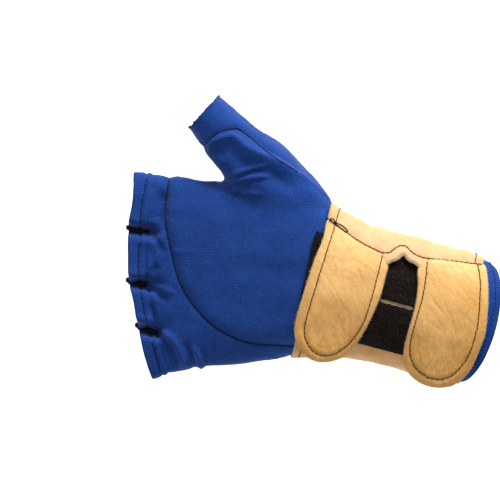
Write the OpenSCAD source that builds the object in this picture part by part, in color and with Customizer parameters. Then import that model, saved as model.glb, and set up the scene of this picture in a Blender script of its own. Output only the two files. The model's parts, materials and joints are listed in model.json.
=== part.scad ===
// Open-finger impact glove for the right hand, with a leather wrist wrap.
// The glove lies on its back: +X runs from the fingers to the forearm, +Y to the thumb,
// +Z out of the palm. The origin is under the middle of the glove, on the surface it lies on.

/* [Hand shape] */
// Width across the four finger openings
finger_row_w = 103.2; // [98:0.1:108]
// Thickness of the finger openings
finger_t = 19; // [17:0.5:22]
// Width across the middle of the palm
palm_w = 90.8; // [86:0.1:96]
// Thickness of the palm at its middle
palm_t = 29.6; // [27:0.1:33]
// Width at the heel of the hand, where the wrap starts
heel_w = 74.8; // [71:0.1:79]
// Width of the wrist over the liner
wrist_w = 62.8; // [59:0.1:66]
// Thickness of the wrist over the liner
wrist_t = 42; // [39:0.5:46]
// Angle between the palm and the forearm, in the plane of the palm
wrist_turn = 15; // [10:1:18]
// Rise of the back of the hand at the wrist, as the glove lies
wrist_rise = 7.9; // [5:0.1:10]

/* [Layers] */
// Thickness of the stretch fabric
fabric_t = 0.9; // [0.7:0.1:1.1]
// Thickness of the leather
leather_t = 1.4; // [1.2:0.1:1.6]
// Thickness of the loop patches
loop_t = 0.9; // [0.7:0.1:1]
// Thickness of the hook linings
hook_t = 0.9; // [0.7:0.1:1]
// Thickness of the polymer pad
pad_t = 3; // [2:0.5:4]
// Thickness of the pad pocket's lining
lining_t = 0.5; // [0.4:0.1:0.6]
// Diameter of the sewing thread
thread_d = 0.6; // [0.5:0.1:0.8]

/* [Wrist wrap] */
// Half width of each strap at its widest
strap_half_w = 18.3; // [16:0.1:18.5]
// Reach of the front strap below the middle of the wrist
front_reach = 42; // [40:0.5:43]
// Reach of the rear strap below the middle of the wrist
rear_reach = 39.5; // [38:0.5:41]
// Distance of the strap seams from the strap edges
seam_inset = 3; // [2.5:0.5:4]

/* [Thumb] */
// Width of the thumb opening
thumb_w = 22.3; // [20:0.1:24]
// Thickness of the thumb opening
thumb_t = 21.6; // [19:0.1:23]

/* [Hidden] */

BLUE = [0.07, 0.19, 0.55];
TAN = [0.93, 0.76, 0.46];
BLACK = [0.05, 0.05, 0.06];
GREY = [0.55, 0.57, 0.6];

// The line down the middle of the hand, seen from the palm, in sections:
// [distance along it, x, y, heading, half width, half thickness, height of the back].
turn = -wrist_turn;
WRIST_MID = [39.35, -27.3];
FOREARM = [cos(turn), sin(turn)];
THUMBWARD = [-sin(turn), cos(turn)];
wrist_zero = 40;

// A section of the wrist: its middle lies at s towards the thumb from the wrist's own line.
function wrist_station(l, s, half_w, thicker, rise) =
    let (p = WRIST_MID + (l - wrist_zero) * FOREARM + s * THUMBWARD)
    [l, p[0], p[1], turn, half_w, wrist_t / 2 + thicker, wrist_rise * rise];

SPINE = [
    [-96, -95.0, -18.1, 3.3, finger_row_w / 2 + 0.2, finger_t / 2 - 0.4, 0.8],
    [-86, -84.5, -17.5, 3.3, finger_row_w / 2, finger_t / 2, 0.6],
    [-73, -71.5, -16.8, 1.0, palm_w / 2 + 3.4, palm_t / 2 - 3.5, 0.4],
    [-56, -55.0, -17.0, 0.0, palm_w / 2 + 0.4, palm_t / 2 - 1.5, 1.0],
    [-39, -38.0, -16.6, -1.0, palm_w / 2, palm_t / 2, 2.8],
    [-21, -20.0, -15.8, -5.0, palm_w / 2 - 0.8, palm_t / 2 + 2.0, 5.0],
    [-8, -7.4, -17.9, -11.0, heel_w / 2 + 3.4, wrist_t / 2 - 2.0, wrist_rise - 1.1],
    wrist_station(0, -4.0, heel_w / 2, -0.7, 1),
    wrist_station(20, -3.4, wrist_w / 2 + 1, -0.2, 0.92),
    wrist_station(40, -2.4, wrist_w / 2 - 0.2, 0, 0.66),
    wrist_station(60, -2.5, wrist_w / 2 - 0.2, 0.2, 0.43),
    wrist_station(80, -3.0, wrist_w / 2 - 0.8, 0.4, 0.27),
    wrist_station(96, -3.2, wrist_w / 2 - 1.2, 0.5, 0.2)
];
// Where the middle of the glove's box lies from the drawing's zero, and the lowest layer's height
CENTRE = [-1.937, -0.477, -0.58];

// Fractions of the half width at which the bar tacks part the four fingers
TACKS = [23 / 51.6, -4.5 / 51.6, -28 / 51.6];
tack_len = 9;
tack_reach = 3.2;
tack_gap = 1.3;
tack_half_w = 0.7;
tack_slope = 1.6;

// The thumb opening in the body of the glove: middle and half length along the spine, half angle
hole_mid = -23.2;
hole_half = 22.2;
hole_angle = 50;

// Rings of the thumb: [number, crotch side x, y, outer side x, y, height, half thickness]
THUMB = [
    [1, -46.5, 34.5, -6.0, 35.5, 22.0, 14.5],
    [2, -50.0, 38.5, -20.0, 47.5, 22.0, 13.5],
    [3, -54.0, 43.0, -29.0, 54.5, 21.8, 12.5],
    [4, -58.5, 49.2, -36.5, 62.0, 21.5, 11.8],
    [5, -56 - thumb_w * 0.336, 64.2 - thumb_w * 0.37,
        -56 + thumb_w * 0.336, 64.2 + thumb_w * 0.37, 21.5, thumb_t / 2]
];

// Heights of the wrap's layers over the liner
wrap_gap = 0.5;
wrap_top = wrap_gap + leather_t;
flap_top = wrap_gap + 1.2;
under_loop = flap_top + 0.1;
over_loop = wrap_top + 0.1;
hook_low = over_loop + loop_t + 0.3;
strap_low = hook_low + hook_t + 0.1;
strap_top = strap_low + leather_t;

// The wrist's own frame: u runs along the forearm from the middle of the wrap, v to the thumb.
// The slit is where the underlap ends and the wrap's other end begins.
slit_v = -4.4;

// Straps: [root v at the front edge, root v at the rear edge, v where the round end starts,
// reach, sharpness of the round end, half width, shift of the seam, inset of the seam]
FRONT = [25.4, 15.0, 0, -front_reach, 2.6, strap_half_w - 0.7, 0.9, seam_inset];
REAR = [21.7, 25.9, -12, -rear_reach, 2.4, strap_half_w, 0.3, seam_inset - 0.4];

// The middle line of each strap: [v, u]
FRONT_LINE = [[-42, -29], [-28, -28], [-12, -27], [6, -26], [27, -25]];
REAR_LINE = [[-40, 28], [-26, 28.3], [-11, 29.3], [4, 28.1], [17, 25.4], [28, 23.4]];
root_gap = 0.8;
axis_lift = 0.4;

// ---- curves ----

function mix(a, b, t) = a + (b - a) * t;
function ease(t) = let (c = min(1, max(0, t))) c * c * (3 - 2 * c);

// The last row of a table whose first column isn't above x, leaving one row after it
function row_below(table, x) =
    let (below = [for (i = [0:len(table) - 2]) if (table[i][0] <= x) i])
    len(below) == 0 ? 0 : below[len(below) - 1];

function row_slope(table, i) =
    let (a = max(0, i - 1), b = min(len(table) - 1, i + 1))
    (table[b] - table[a]) / (table[b][0] - table[a][0]);

// A smooth curve through a table's rows, at x in its first column
function along(table, x) =
    let (
        i = row_below(table, x),
        h = table[i + 1][0] - table[i][0],
        t = (x - table[i][0]) / h
    )
    table[i] * (2 * pow(t, 3) - 3 * t * t + 1)
        + row_slope(table, i) * h * (pow(t, 3) - 2 * t * t + t)
        + table[i + 1] * (3 * t * t - 2 * pow(t, 3))
        + row_slope(table, i + 1) * h * (pow(t, 3) - t * t);

// ---- the surface of the hand ----

// Squareness of the cross-section: flatter over the palm, rounder at the wrist
function squareness(l) = mix(2.7, 2.25, ease((l + 40) / 45));

// Where the fabric ends at the fingers and at the cuff. side is 1 on the palm and -1 on the back.
function finger_edge(f) = -95.2 + 7.6 * pow(abs(f * 51.6 - 3.5) / 52, 2.6);
function cuff_edge(f, side) = 82 + (side > 0 ? 10.4 : 3) * sqrt(max(0, 1 - f * f));

// 1 where a bar tack pinches palm and back together, 0 away from it
function pinch(l, f) =
    let (near = max([for (t = TACKS) exp(-pow((f - t) * finger_row_w / 2 / tack_reach, 2))]))
    near * (1 - ease((l - finger_edge(f) - tack_len) / 11));

// A point of the hand's surface: l along the spine, f the fraction of the half width,
// off the distance outside the surface
function skin(l, f, side, off) =
    let (
        g = along(SPINE, l),
        n = squareness(l),
        v = f * (g[4] + off),
        p = pinch(l, f),
        round_t = (g[5] + off) * pow(max(0, 1 - pow(abs(f), n)), 1 / n),
        h = mix(round_t, tack_gap + off, p)
    )
    [g[1] - sin(g[3]) * v, g[2] + cos(g[3]) * v, g[6] + g[5] + side * h] - CENTRE;

// The same, by the angle round the section from the thumb side
function skin_round(l, a, off) =
    let (c = cos(a), n = squareness(l))
    skin(l, sign(c) * pow(abs(c), 2 / n), sin(a) < 0 ? -1 : 1, off);

// ---- solids from grids of points ----

// Two triangles for each cell of a grid, numbered row by row
function cells(rows, cols, first, flip, wrap = false) =
    [for (i = [0:rows - 2]) for (j = [0:cols - (wrap ? 1 : 2)])
        let (
            k = (j + 1) % cols,
            a = first + i * cols + j,
            b = first + i * cols + k,
            c = first + (i + 1) * cols + k,
            d = first + (i + 1) * cols + j
        )
        each (flip ? [[a, c, b], [a, d, c]] : [[a, b, c], [a, c, d]])];

// The wall between two matching edges
function wall(top, low) =
    [for (i = [0:len(top) - 2])
        each [[top[i], low[i], low[i + 1]], [top[i], low[i + 1], top[i + 1]]]];

// A closed sheet between two grids of points. over and under are functions of row and column.
module sheet(rows, cols, over, under) {
    n = rows * cols;
    points = concat(
        [for (i = [0:rows - 1]) for (j = [0:cols - 1]) over(i, j)],
        [for (i = [0:rows - 1]) for (j = [0:cols - 1]) under(i, j)]);
    rim = concat(
        [for (j = [0:cols - 1]) j],
        [for (i = [1:rows - 1]) i * cols + cols - 1],
        [for (j = [cols - 2:-1:0]) (rows - 1) * cols + j],
        [for (i = [rows - 2:-1:0]) i * cols]);
    polyhedron(points, concat(
        cells(rows, cols, 0, false),
        cells(rows, cols, n, true),
        wall(rim, [for (k = rim) k + n])));
}

// A closed tube wall between two grids whose rows are rings
module sleeve(rows, cols, over, under) {
    n = rows * cols;
    points = concat(
        [for (i = [0:rows - 1]) for (j = [0:cols - 1]) over(i, j)],
        [for (i = [0:rows - 1]) for (j = [0:cols - 1]) under(i, j)]);
    ring = [for (j = [0:cols]) j % cols];
    last = [for (j = [0:cols]) (rows - 1) * cols + (cols - j) % cols];
    polyhedron(points, concat(
        cells(rows, cols, 0, false, true),
        cells(rows, cols, n, true, true),
        wall(ring, [for (k = ring) k + n]),
        wall(last, [for (k = last) k + n])));
}

// A thread of square section along a path of points
module thread(path, d = thread_d) {
    last = len(path) - 1;
    r = d / 2;
    rings = [for (i = [0:last])
        let (
            ahead = path[min(last, i + 1)] - path[max(0, i - 1)],
            flat = cross(ahead, [0, 0, 1]),
            side = (norm(flat) > 0.01 ? flat : [1, 0, 0]) / max(0.01, norm(flat)),
            up = cross(side, ahead / norm(ahead))
        )
        each [path[i] + r * side, path[i] + r * up, path[i] - r * side, path[i] - r * up]];
    polyhedron(rings, concat(
        cells(last + 1, 4, 0, false, true),
        [[2, 1, 0], [3, 2, 0]],
        [[4 * last, 4 * last + 1, 4 * last + 2], [4 * last, 4 * last + 2, 4 * last + 3]]));
}

// ---- liner ----

// Rows of the liner: distances from the finger edge, then places along the spine
NEAR_ROWS = [0, 4.5, 9, 14, 19];
FAR_ROWS = [-63, -55, -49, -45.2, -41, -34.5, -23.2, -12, -5.5, -1.2, 5, 15, 27, 43, 60, 74];
liner_rows = len(NEAR_ROWS) + len(FAR_ROWS) + 1;

// Columns of the liner, from the little finger's side, with one on each bar tack
EDGE_STEPS = [1, 0.955, 0.83, 0.64, 0.42, 0.22, 0.1, 0];
COLUMNS = concat(
    [for (e = EDGE_STEPS) mix(TACKS[2], -1, e)],
    [for (k = [2, 1]) for (e = [0.09, 0.25, 0.5, 0.75, 0.91, 1]) mix(TACKS[k], TACKS[k - 1], e)],
    [for (k = [len(EDGE_STEPS) - 2:-1:0]) mix(TACKS[0], 1, EDGE_STEPS[k])]);

// The fraction of the half width at which the thumb opening cuts the fabric
function hole_f(l, more) =
    let (x = (l - hole_mid) / (hole_half + more))
    abs(x) >= 1 ? 1
        : pow(cos((hole_angle + 2 * more) * sqrt(1 - x * x)), 2 / squareness(l));

function liner_point(i, j, side, off) =
    let (
        near = i < len(NEAR_ROWS),
        c = COLUMNS[j],
        l = near ? finger_edge(c) + NEAR_ROWS[i]
            : i < liner_rows - 1 ? FAR_ROWS[i - len(NEAR_ROWS)] : cuff_edge(c, side),
        f = c <= TACKS[0] || near ? c
            : mix(TACKS[0], hole_f(l, 0.3), (c - TACKS[0]) / (1 - TACKS[0]))
    )
    skin(l, f, side, off) + [0, 0, side * 0.06];

module palm_panel() {
    color(BLUE)
        sheet(liner_rows, len(COLUMNS),
            function (i, j) liner_point(i, j, 1, 0),
            function (i, j) liner_point(i, j, 1, -fabric_t));
}

module back_panel() {
    color(BLUE)
        sheet(liner_rows, len(COLUMNS),
            function (i, j) liner_point(i, j, -1, -fabric_t),
            function (i, j) liner_point(i, j, -1, 0));
}

// ---- thumb ----

function hole_point(t, off) =
    skin_round(hole_mid + (hole_half + off) * cos(t), (hole_angle + 2 * off) * sin(t), 0);

function thumb_ring(k, t, off) =
    let (
        g = along(THUMB, k),
        inner = [g[1], g[2], g[5]],
        outer = [g[3], g[4], g[5]],
        half = (outer - inner) / 2
    )
    (inner + outer) / 2 + half * (1 + off / norm(half)) * cos(t)
        + [0, 0, (g[6] + off) * sin(t)] - CENTRE;

// A point of the thumb: ring number k from 0 at the hand to 5 at the tip, angle t
function thumb_point(k, t, off) =
    k >= 1 ? thumb_ring(k, t, off)
        : mix(hole_point(t, off), thumb_ring(1, t, off), k)
            + 2.4 * sin(180 * k) * max(0, cos(t)) * [0.6, 0.8, 0];

thumb_cols = 28;
THUMB_ROWS = [0, 0.35, 0.7, 1, 1.5, 2, 2.7, 3.4, 4.2, 5];

module thumb_panel() {
    color(BLUE)
        sleeve(len(THUMB_ROWS), thumb_cols,
            function (i, j) thumb_point(THUMB_ROWS[i], 360 * j / thumb_cols, 0),
            function (i, j) thumb_point(THUMB_ROWS[i], 360 * j / thumb_cols, -fabric_t));
}

// ---- pads and their pocket linings ----

// The seam round the palm pad is a quarter of an ellipse, from the index finger to the heel.
PAD_MID = [-4, 0.58];
PAD_R = [72, 1.5];
function pad_seam_f(l) =
    PAD_MID[1] - PAD_R[1] * sqrt(max(0, 1 - pow((l - PAD_MID[0]) / PAD_R[0], 2)));

pad_rows = 14;
pad_cols = 12;

// A point of the layer at depth under the palm panel. grow widens it past the pad.
function pad_point(i, j, depth, grow) =
    let (
        l = mix(PAD_MID[0] - PAD_R[0] + 3 - grow, -6 + grow, 1 - cos(90 * i / (pad_rows - 1))),
        low = pad_seam_f(max(l, PAD_MID[0] - PAD_R[0] + 0.2)) + 0.04 - grow * 0.01,
        high = min(0.84, hole_f(l, 2.4)) + grow * 0.01
    )
    skin(l, mix(low, high, j / (pad_cols - 1)), 1, -fabric_t) - [0, 0, depth];

module palm_layer(top, thick, grow) {
    sheet(pad_rows, pad_cols,
        function (i, j) pad_point(i, j, top, grow),
        function (i, j) pad_point(i, j, top + thick, grow));
}

module palm_pad() {
    color(GREY) palm_layer(0.4, pad_t, 0);
}

module palm_pad_lining() {
    color(BLACK) palm_layer(pad_t + 0.55, lining_t, 1);
}

thumb_pad_rows = 8;
thumb_pad_cols = 9;

function thumb_pad_point(i, j, depth) =
    let (w = j / (thumb_pad_cols - 1), k = mix(0.5, 3.5, i / (thumb_pad_rows - 1)))
    thumb_point(k, mix(58, 135, w), -fabric_t - depth);

module thumb_layer(top, thick) {
    sheet(thumb_pad_rows, thumb_pad_cols,
        function (i, j) thumb_pad_point(i, j, top),
        function (i, j) thumb_pad_point(i, j, top + thick));
}

module thumb_pad() {
    color(GREY) thumb_layer(0.3, pad_t - 0.6);
}

module thumb_pad_lining() {
    color(BLACK) thumb_layer(pad_t - 0.1, lining_t);
}

// ---- seams of the liner ----

lift = thread_d / 2 + 0.2;

module palm_pad_stitching() {
    seam = [for (a = [2:4:90])
        skin(PAD_MID[0] - PAD_R[0] * cos(a), PAD_MID[1] - PAD_R[1] * sin(a), 1, lift)];
    index_side = [for (f = [0.94, 0.86, 0.72])
        skin(PAD_MID[0] - PAD_R[0] - 0.3 + 4 * (f - 0.6), f, 1, lift)];
    color(BLACK) thread(concat(index_side, seam));
}

// Places of the thumb's pad seam: [ring number, angle]
THUMB_SEAM = [[0, 3.7, 172], [1, 4.1, 128], [2, 4.05, 92], [3, 3.5, 66], [4, 2.75, 55],
    [5, 2, 54], [6, 1.25, 52], [7, 0.6, 46], [8, 0.12, 28]];

module thumb_pad_stitching() {
    color(BLACK)
        thread([for (x = [0:0.4:8.01]) let (p = along(THUMB_SEAM, x)) thumb_point(p[1], p[2], lift)]);
}

// The hem seam runs round the finger openings, on the palm and back. It stands a little
// further off the fabric than the other seams, because the fabric gathers there.
hem_inset = 5.3;
hem_lift = 0.4;

// The fractions between which each finger's stretch of the hem seam runs
FINGERS = [[-0.985, TACKS[2] - 0.07], [TACKS[2] + 0.07, TACKS[1] - 0.07],
    [TACKS[1] + 0.07, TACKS[0] - 0.07], [TACKS[0] + 0.07, 0.985]];

module finger_hem_stitching() {
    color(BLACK)
        for (side = [1, -1]) for (g = FINGERS)
            thread([for (t = [0:0.1:1]) let (f = mix(g[0], g[1], t))
                skin(finger_edge(f) + hem_inset, f, side, lift + hem_lift) + [0, 0, side * 0.06]]);
}

// A bar tack folds round the finger edge, from the palm to the back: [l outside, l inside, side]
TACK_ROWS = [[tack_len, tack_len, 1], [4, 4, 1], [0, 0, 1], [-0.8, -0.25, 1],
    [-0.8, -0.25, -1], [0, 0, -1], [4, 4, -1], [tack_len, tack_len, -1]];

function tack_point(f, l, w, h) =
    let (low = skin(l, f, -1, 0), top = skin(l, f, 1, 0))
    (low + top) / 2 + [0, w, h];

module bartack(f) {
    row = function (i, k) finger_edge(f) + TACK_ROWS[i][k];
    width = function (j) tack_half_w * (1 - j);
    rise = function (i, j, more)
        TACK_ROWS[i][2] * (tack_gap + more + tack_slope * abs(width(j)));
    sheet(len(TACK_ROWS), 3,
        function (i, j) tack_point(f, row(i, 0), width(j), rise(i, j, 0.85)),
        function (i, j) tack_point(f, row(i, 1), width(j), rise(i, j, 0.2)));
}

module finger_bartacks() {
    color(BLACK) for (f = TACKS) bartack(f);
}

module side_seam_stitching() {
    inside = -fabric_t - thread_d / 2 - 0.25;
    color(BLACK)
        thread([for (l = [-80:8:72]) skin_round(l, 180, inside)]);
}

module thumb_seam_stitching() {
    color(BLACK)
        thread([for (t = [-12:-12:-168]) hole_point(t, 0.35) + lift_out(t)]);
}

// Moves a thread at the thumb opening's back half off the fabric
function lift_out(t) = let (a = hole_angle * sin(t)) (lift + 0.1) * [0, cos(a), sin(a)];

module cuff_hem_stitching() {
    color(BLACK)
        for (side = [1, -1])
            thread([for (a = [8:11:173])
                let (c = cos(a), f = sign(c) * pow(abs(c), 0.89))
                skin(cuff_edge(f, side) - 2.6, f, side, lift) + [0, 0, side * 0.06]]);
}

// ---- leather wrap ----

function wrist_place(u, v) = WRIST_MID + u * FOREARM + v * THUMBWARD;

// How far v lies from the section's middle, as a fraction of its half width grown by off
function wrist_f(u, v, off) =
    let (g = along(SPINE, u + wrist_zero))
    (v - ([g[1], g[2]] - WRIST_MID) * THUMBWARD) / (g[4] + off);

// The palm side of the wrist as a height over u and v, off above the liner
function wrist_height(u, v, off) =
    let (
        g = along(SPINE, u + wrist_zero),
        n = squareness(u + wrist_zero)
    )
    g[6] + g[5] + (g[5] + off) * pow(max(0, 1 - pow(abs(wrist_f(u, v, off)), n)), 1 / n);

function wrist_point(u, v, off) =
    let (p = wrist_place(u, v)) [p[0], p[1], wrist_height(u, v, off)] - CENTRE;

// The edge at which the wrap ends on the thumb side, where the straps start, with the notch
WRAP_EDGE = [[-43, 25.4], [-9.4, 15.2], [-7.6, 15.6], [-4, 18.6], [-1.8, 21.3], [0.5, 20.3],
    [5.9, 18.9], [7.4, 21.4], [8.4, 21.8], [44, 26.3]];
WRAP_U = [-42, -33, -25, -16, -9.4, -7.6, -4, -1.8, 0.5, 5.9, 7.4, 8.4, 16, 24, 32, 38];

wrap_cols = 30;
function section_angle(u, v, off) =
    let (f = wrist_f(u, v, off))
    acos(sign(f) * pow(min(1, abs(f)), squareness(u + wrist_zero) / 2));

// How far the wrap stands off the liner at angle a: it climbs over the underlap at its edge.
function wrap_climb(a) = (strap_low - wrap_gap) * ease((a - 4) / 36);

function wrap_point(i, j, off) =
    let (
        u = WRAP_U[i],
        first = section_angle(u, lookup(u, WRAP_EDGE), strap_low),
        last = section_angle(u, slit_v - 0.4, 0) - 360,
        a = mix(first, last, j / (wrap_cols - 1)),
        l = u + wrist_zero + wrap_bow(u, a)
    )
    skin_round(l, a, off + wrap_climb(a));

// The front edge stands back at the thumb, and the rear edge bows out over the palm.
function wrap_bow(u, a) =
    ease((u - 16) / 26) * (sin(a) > 0 ? 3 : 0.5) * abs(sin(a))
        + ease((-u - 20) / 24) * 2.4 * pow(max(0, cos(a)), 4);

module wrist_wrap() {
    color(TAN)
        sheet(len(WRAP_U), wrap_cols,
            function (i, j) wrap_point(i, j, wrap_top),
            function (i, j) wrap_point(i, j, wrap_gap));
}

// A layer on the palm side of the wrist, between two values of u and two edges in v
module wrist_layer(u0, u1, v0, v1, low, thick, lean = 0) {
    rows = 9;
    cols = 7;
    place = function (i, j, off)
        let (u = mix(u0, u1, i / (rows - 1)), w = j / (cols - 1))
        wrist_point(u, mix(v1 + lean * u, v0, w), off);
    sheet(rows, cols,
        function (i, j) place(i, j, low + thick),
        function (i, j) place(i, j, low));
}

module underlap_flap() {
    color(TAN) wrist_layer(-40, 38, 25, slit_v + 0.4, wrap_gap, 1.2);
}

module underlap_loop() {
    color(BLACK) wrist_layer(-38, 35.5, 24, slit_v + 0.9, under_loop, loop_t);
}

module wrap_loop() {
    color(BLACK) wrist_layer(-38, 35.5, slit_v - 0.9, -28, over_loop, loop_t, 0.12);
}

module wrap_edge_stitching(u) {
    color(BLACK)
        thread([for (a = [20:-9.5:-236])
            skin_round(u + wrist_zero + wrap_bow(u, a), a, wrap_top + wrap_climb(a) + lift)]);
}

module wrap_front_stitching() {
    wrap_edge_stitching(-39);
}

module wrap_rear_stitching() {
    wrap_edge_stitching(36.6);
}

// The seam that joins the underlap to the wrap, over the strap roots and round the notch
STRAP_SEAM = [[-38, 26.5], [-22, 20.6], [-13, 18.9], [-8, 19.9], [-6, 22.6], [-3.9, 24.2],
    [-1, 24.4], [3, 23.4], [9.4, 22.9], [24, 24.6], [37, 26.6]];

module strap_seam_stitching() {
    color(BLACK)
        thread([for (u = [-38:2.5:37]) wrist_point(u, along(STRAP_SEAM, u)[1], strap_top + lift)]);
}

// ---- straps ----

// The half width of a strap at v: full at the root side, a round end at its reach
function strap_half(s, v) =
    let (x = max(0, (s[2] - v) / (s[2] - s[3])))
    s[5] * pow(max(0, 1 - pow(x, s[4])), 1 / s[4]) * mix(1, 0.96, ease((v - 4) / 20));

// A strap leaves the wrist along a straight line past this v.
leave_v = -17;
function strap_height(u, v, off) =
    v > leave_v ? wrist_height(u, v, off)
        : wrist_height(u, leave_v, off)
            + (wrist_height(u, leave_v + 1, off) - wrist_height(u, leave_v, off)) * (v - leave_v);

// A point of a strap: t from the root to the tip, w from the front edge to the rear edge
function strap_point(s, line, t, w, off) =
    let (
        v = mix(mix(s[0], s[1], (w + 1) / 2) - root_gap, s[3], 1 - pow(1 - t, 1.35)),
        u = along(line, v)[1] + w * strap_half(s, v),
        p = wrist_place(u, v)
    )
    [p[0], p[1], strap_height(u, v, off)] - CENTRE;

strap_rows = 14;
strap_cols = 10;

// A layer of a strap, from t0 to t1 and from w0 to w1
module strap_layer(s, line, low, thick, t0 = 0, t1 = 0.985, w0 = -1, w1 = 1) {
    place = function (i, j, off)
        strap_point(s, line, mix(t0, t1, i / (strap_rows - 1)),
            mix(w0, w1, j / (strap_cols - 1)), off);
    sheet(strap_rows, strap_cols,
        function (i, j) place(i, j, low + thick),
        function (i, j) place(i, j, low));
}

// The seam round a strap's edge, down one side, round the end and up the other
module strap_seam(s, line) {
    seam = [s[0], s[1], s[2], s[3] + seam_inset + 1, s[4] + 0.4, s[5] - s[7]];
    shifted = [for (p = line) [p[0], p[1] + s[6]]];
    side = function (w) [for (t = [0.03, 0.12, 0.24, 0.36, 0.5, 0.62, 0.74, 0.84, 0.91, 0.96, 0.99])
        strap_point(seam, shifted, t, w, strap_top + lift)];
    right = side(1);
    color(BLACK)
        thread(concat(side(-1), [for (i = [len(right) - 1:-1:0]) right[i]]));
}

module front_strap() {
    color(TAN) strap_layer(FRONT, FRONT_LINE, strap_low, leather_t);
}

module rear_strap() {
    color(TAN) strap_layer(REAR, REAR_LINE, strap_low, leather_t);
}

// The front strap's hook lining shows past its front edge.
module front_strap_hook() {
    color(BLACK) strap_layer(FRONT, FRONT_LINE, hook_low, hook_t, 0.1, 0.93, -1.15, 0.95);
}

module rear_strap_hook() {
    color(BLACK) strap_layer(REAR, REAR_LINE, hook_low, hook_t, 0.16, 0.95, -0.99, 0.95);
}

module front_strap_stitching() {
    strap_seam(FRONT, FRONT_LINE);
}

module rear_strap_stitching() {
    strap_seam(REAR, REAR_LINE);
}

// The line on which each strap folds, over the two ends of its root
function fold_end(s, line, w) =
    strap_point(s, line, 0, w, strap_top) + [0, root_gap / 2, axis_lift];
echo(front_fold = [fold_end(FRONT, FRONT_LINE, -1), fold_end(FRONT, FRONT_LINE, 1)]);
echo(rear_fold = [fold_end(REAR, REAR_LINE, -1), fold_end(REAR, REAR_LINE, 1)]);

palm_panel();
back_panel();
thumb_panel();
palm_pad();
thumb_pad();
palm_pad_lining();
thumb_pad_lining();
palm_pad_stitching();
thumb_pad_stitching();
finger_hem_stitching();
finger_bartacks();
side_seam_stitching();
thumb_seam_stitching();
cuff_hem_stitching();
wrist_wrap();
underlap_flap();
underlap_loop();
wrap_loop();
wrap_front_stitching();
wrap_rear_stitching();
strap_seam_stitching();
front_strap();
front_strap_hook();
front_strap_stitching();
rear_strap();
rear_strap_hook();
rear_strap_stitching();
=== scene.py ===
"""Open-finger impact glove with a leather wrist wrap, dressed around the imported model.

Shapes are worked out in millimetres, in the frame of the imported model, and turned into metres
as each piece is made. The hand surface and the wrist follow the same curves as the CAD source.
"""

import json
import math

import bmesh
import bpy
import numpy as np
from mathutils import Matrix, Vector
from mathutils.bvhtree import BVHTree


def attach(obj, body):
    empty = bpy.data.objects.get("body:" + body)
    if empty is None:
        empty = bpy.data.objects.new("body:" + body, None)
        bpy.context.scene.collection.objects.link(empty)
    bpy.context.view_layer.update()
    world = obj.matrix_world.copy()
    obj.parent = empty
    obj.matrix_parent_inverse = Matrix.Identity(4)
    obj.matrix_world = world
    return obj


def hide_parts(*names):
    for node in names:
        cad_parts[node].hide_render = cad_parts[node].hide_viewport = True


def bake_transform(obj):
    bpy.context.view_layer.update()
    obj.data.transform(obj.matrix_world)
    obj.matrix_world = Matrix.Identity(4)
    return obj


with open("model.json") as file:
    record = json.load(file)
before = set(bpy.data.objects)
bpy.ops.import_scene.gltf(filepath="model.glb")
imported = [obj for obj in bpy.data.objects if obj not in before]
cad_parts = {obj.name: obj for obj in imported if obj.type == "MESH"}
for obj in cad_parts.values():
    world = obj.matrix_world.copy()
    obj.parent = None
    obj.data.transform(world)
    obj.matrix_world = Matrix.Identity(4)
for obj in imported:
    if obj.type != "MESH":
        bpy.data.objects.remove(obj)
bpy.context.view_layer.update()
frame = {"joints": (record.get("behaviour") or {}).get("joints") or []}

MM = 0.001
draw = np.random.default_rng(11)

# ---- sizes shared with the CAD source, in millimetres ----

FINGER_ROW_W, FINGER_T = 103.2, 19.0
FINGER_HALF = FINGER_ROW_W / 2
PALM_W, PALM_T = 90.8, 29.6
HEEL_W = 74.8
WRIST_W, WRIST_T = 62.8, 42.0
WRIST_TURN, WRIST_RISE = math.radians(-15), 7.9
FABRIC_T, LEATHER_T, LOOP_T, HOOK_T, PAD_T, LINING_T = 0.9, 1.4, 0.9, 0.9, 3.0, 0.5
THUMB_W, THUMB_T = 22.3, 21.6

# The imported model's origin and the middle of the wrist, on the CAD drawing
CENTRE = np.array([-1.937, -0.477, -0.58])
WRIST_MID = np.array([39.35, -27.3])
WRIST_ZERO = 40.0
FOREARM = np.array([math.cos(WRIST_TURN), math.sin(WRIST_TURN)])
THUMBWARD = np.array([-math.sin(WRIST_TURN), math.cos(WRIST_TURN)])


def wrist_station(length, shift, half_w, thicker, rise):
    """A row of SPINE on the forearm, shifted that far to the thumb's side."""
    x, y = WRIST_MID + (length - WRIST_ZERO) * FOREARM + shift * THUMBWARD
    return [length, x, y, math.degrees(WRIST_TURN), half_w, WRIST_T / 2 + thicker, WRIST_RISE * rise]


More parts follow.
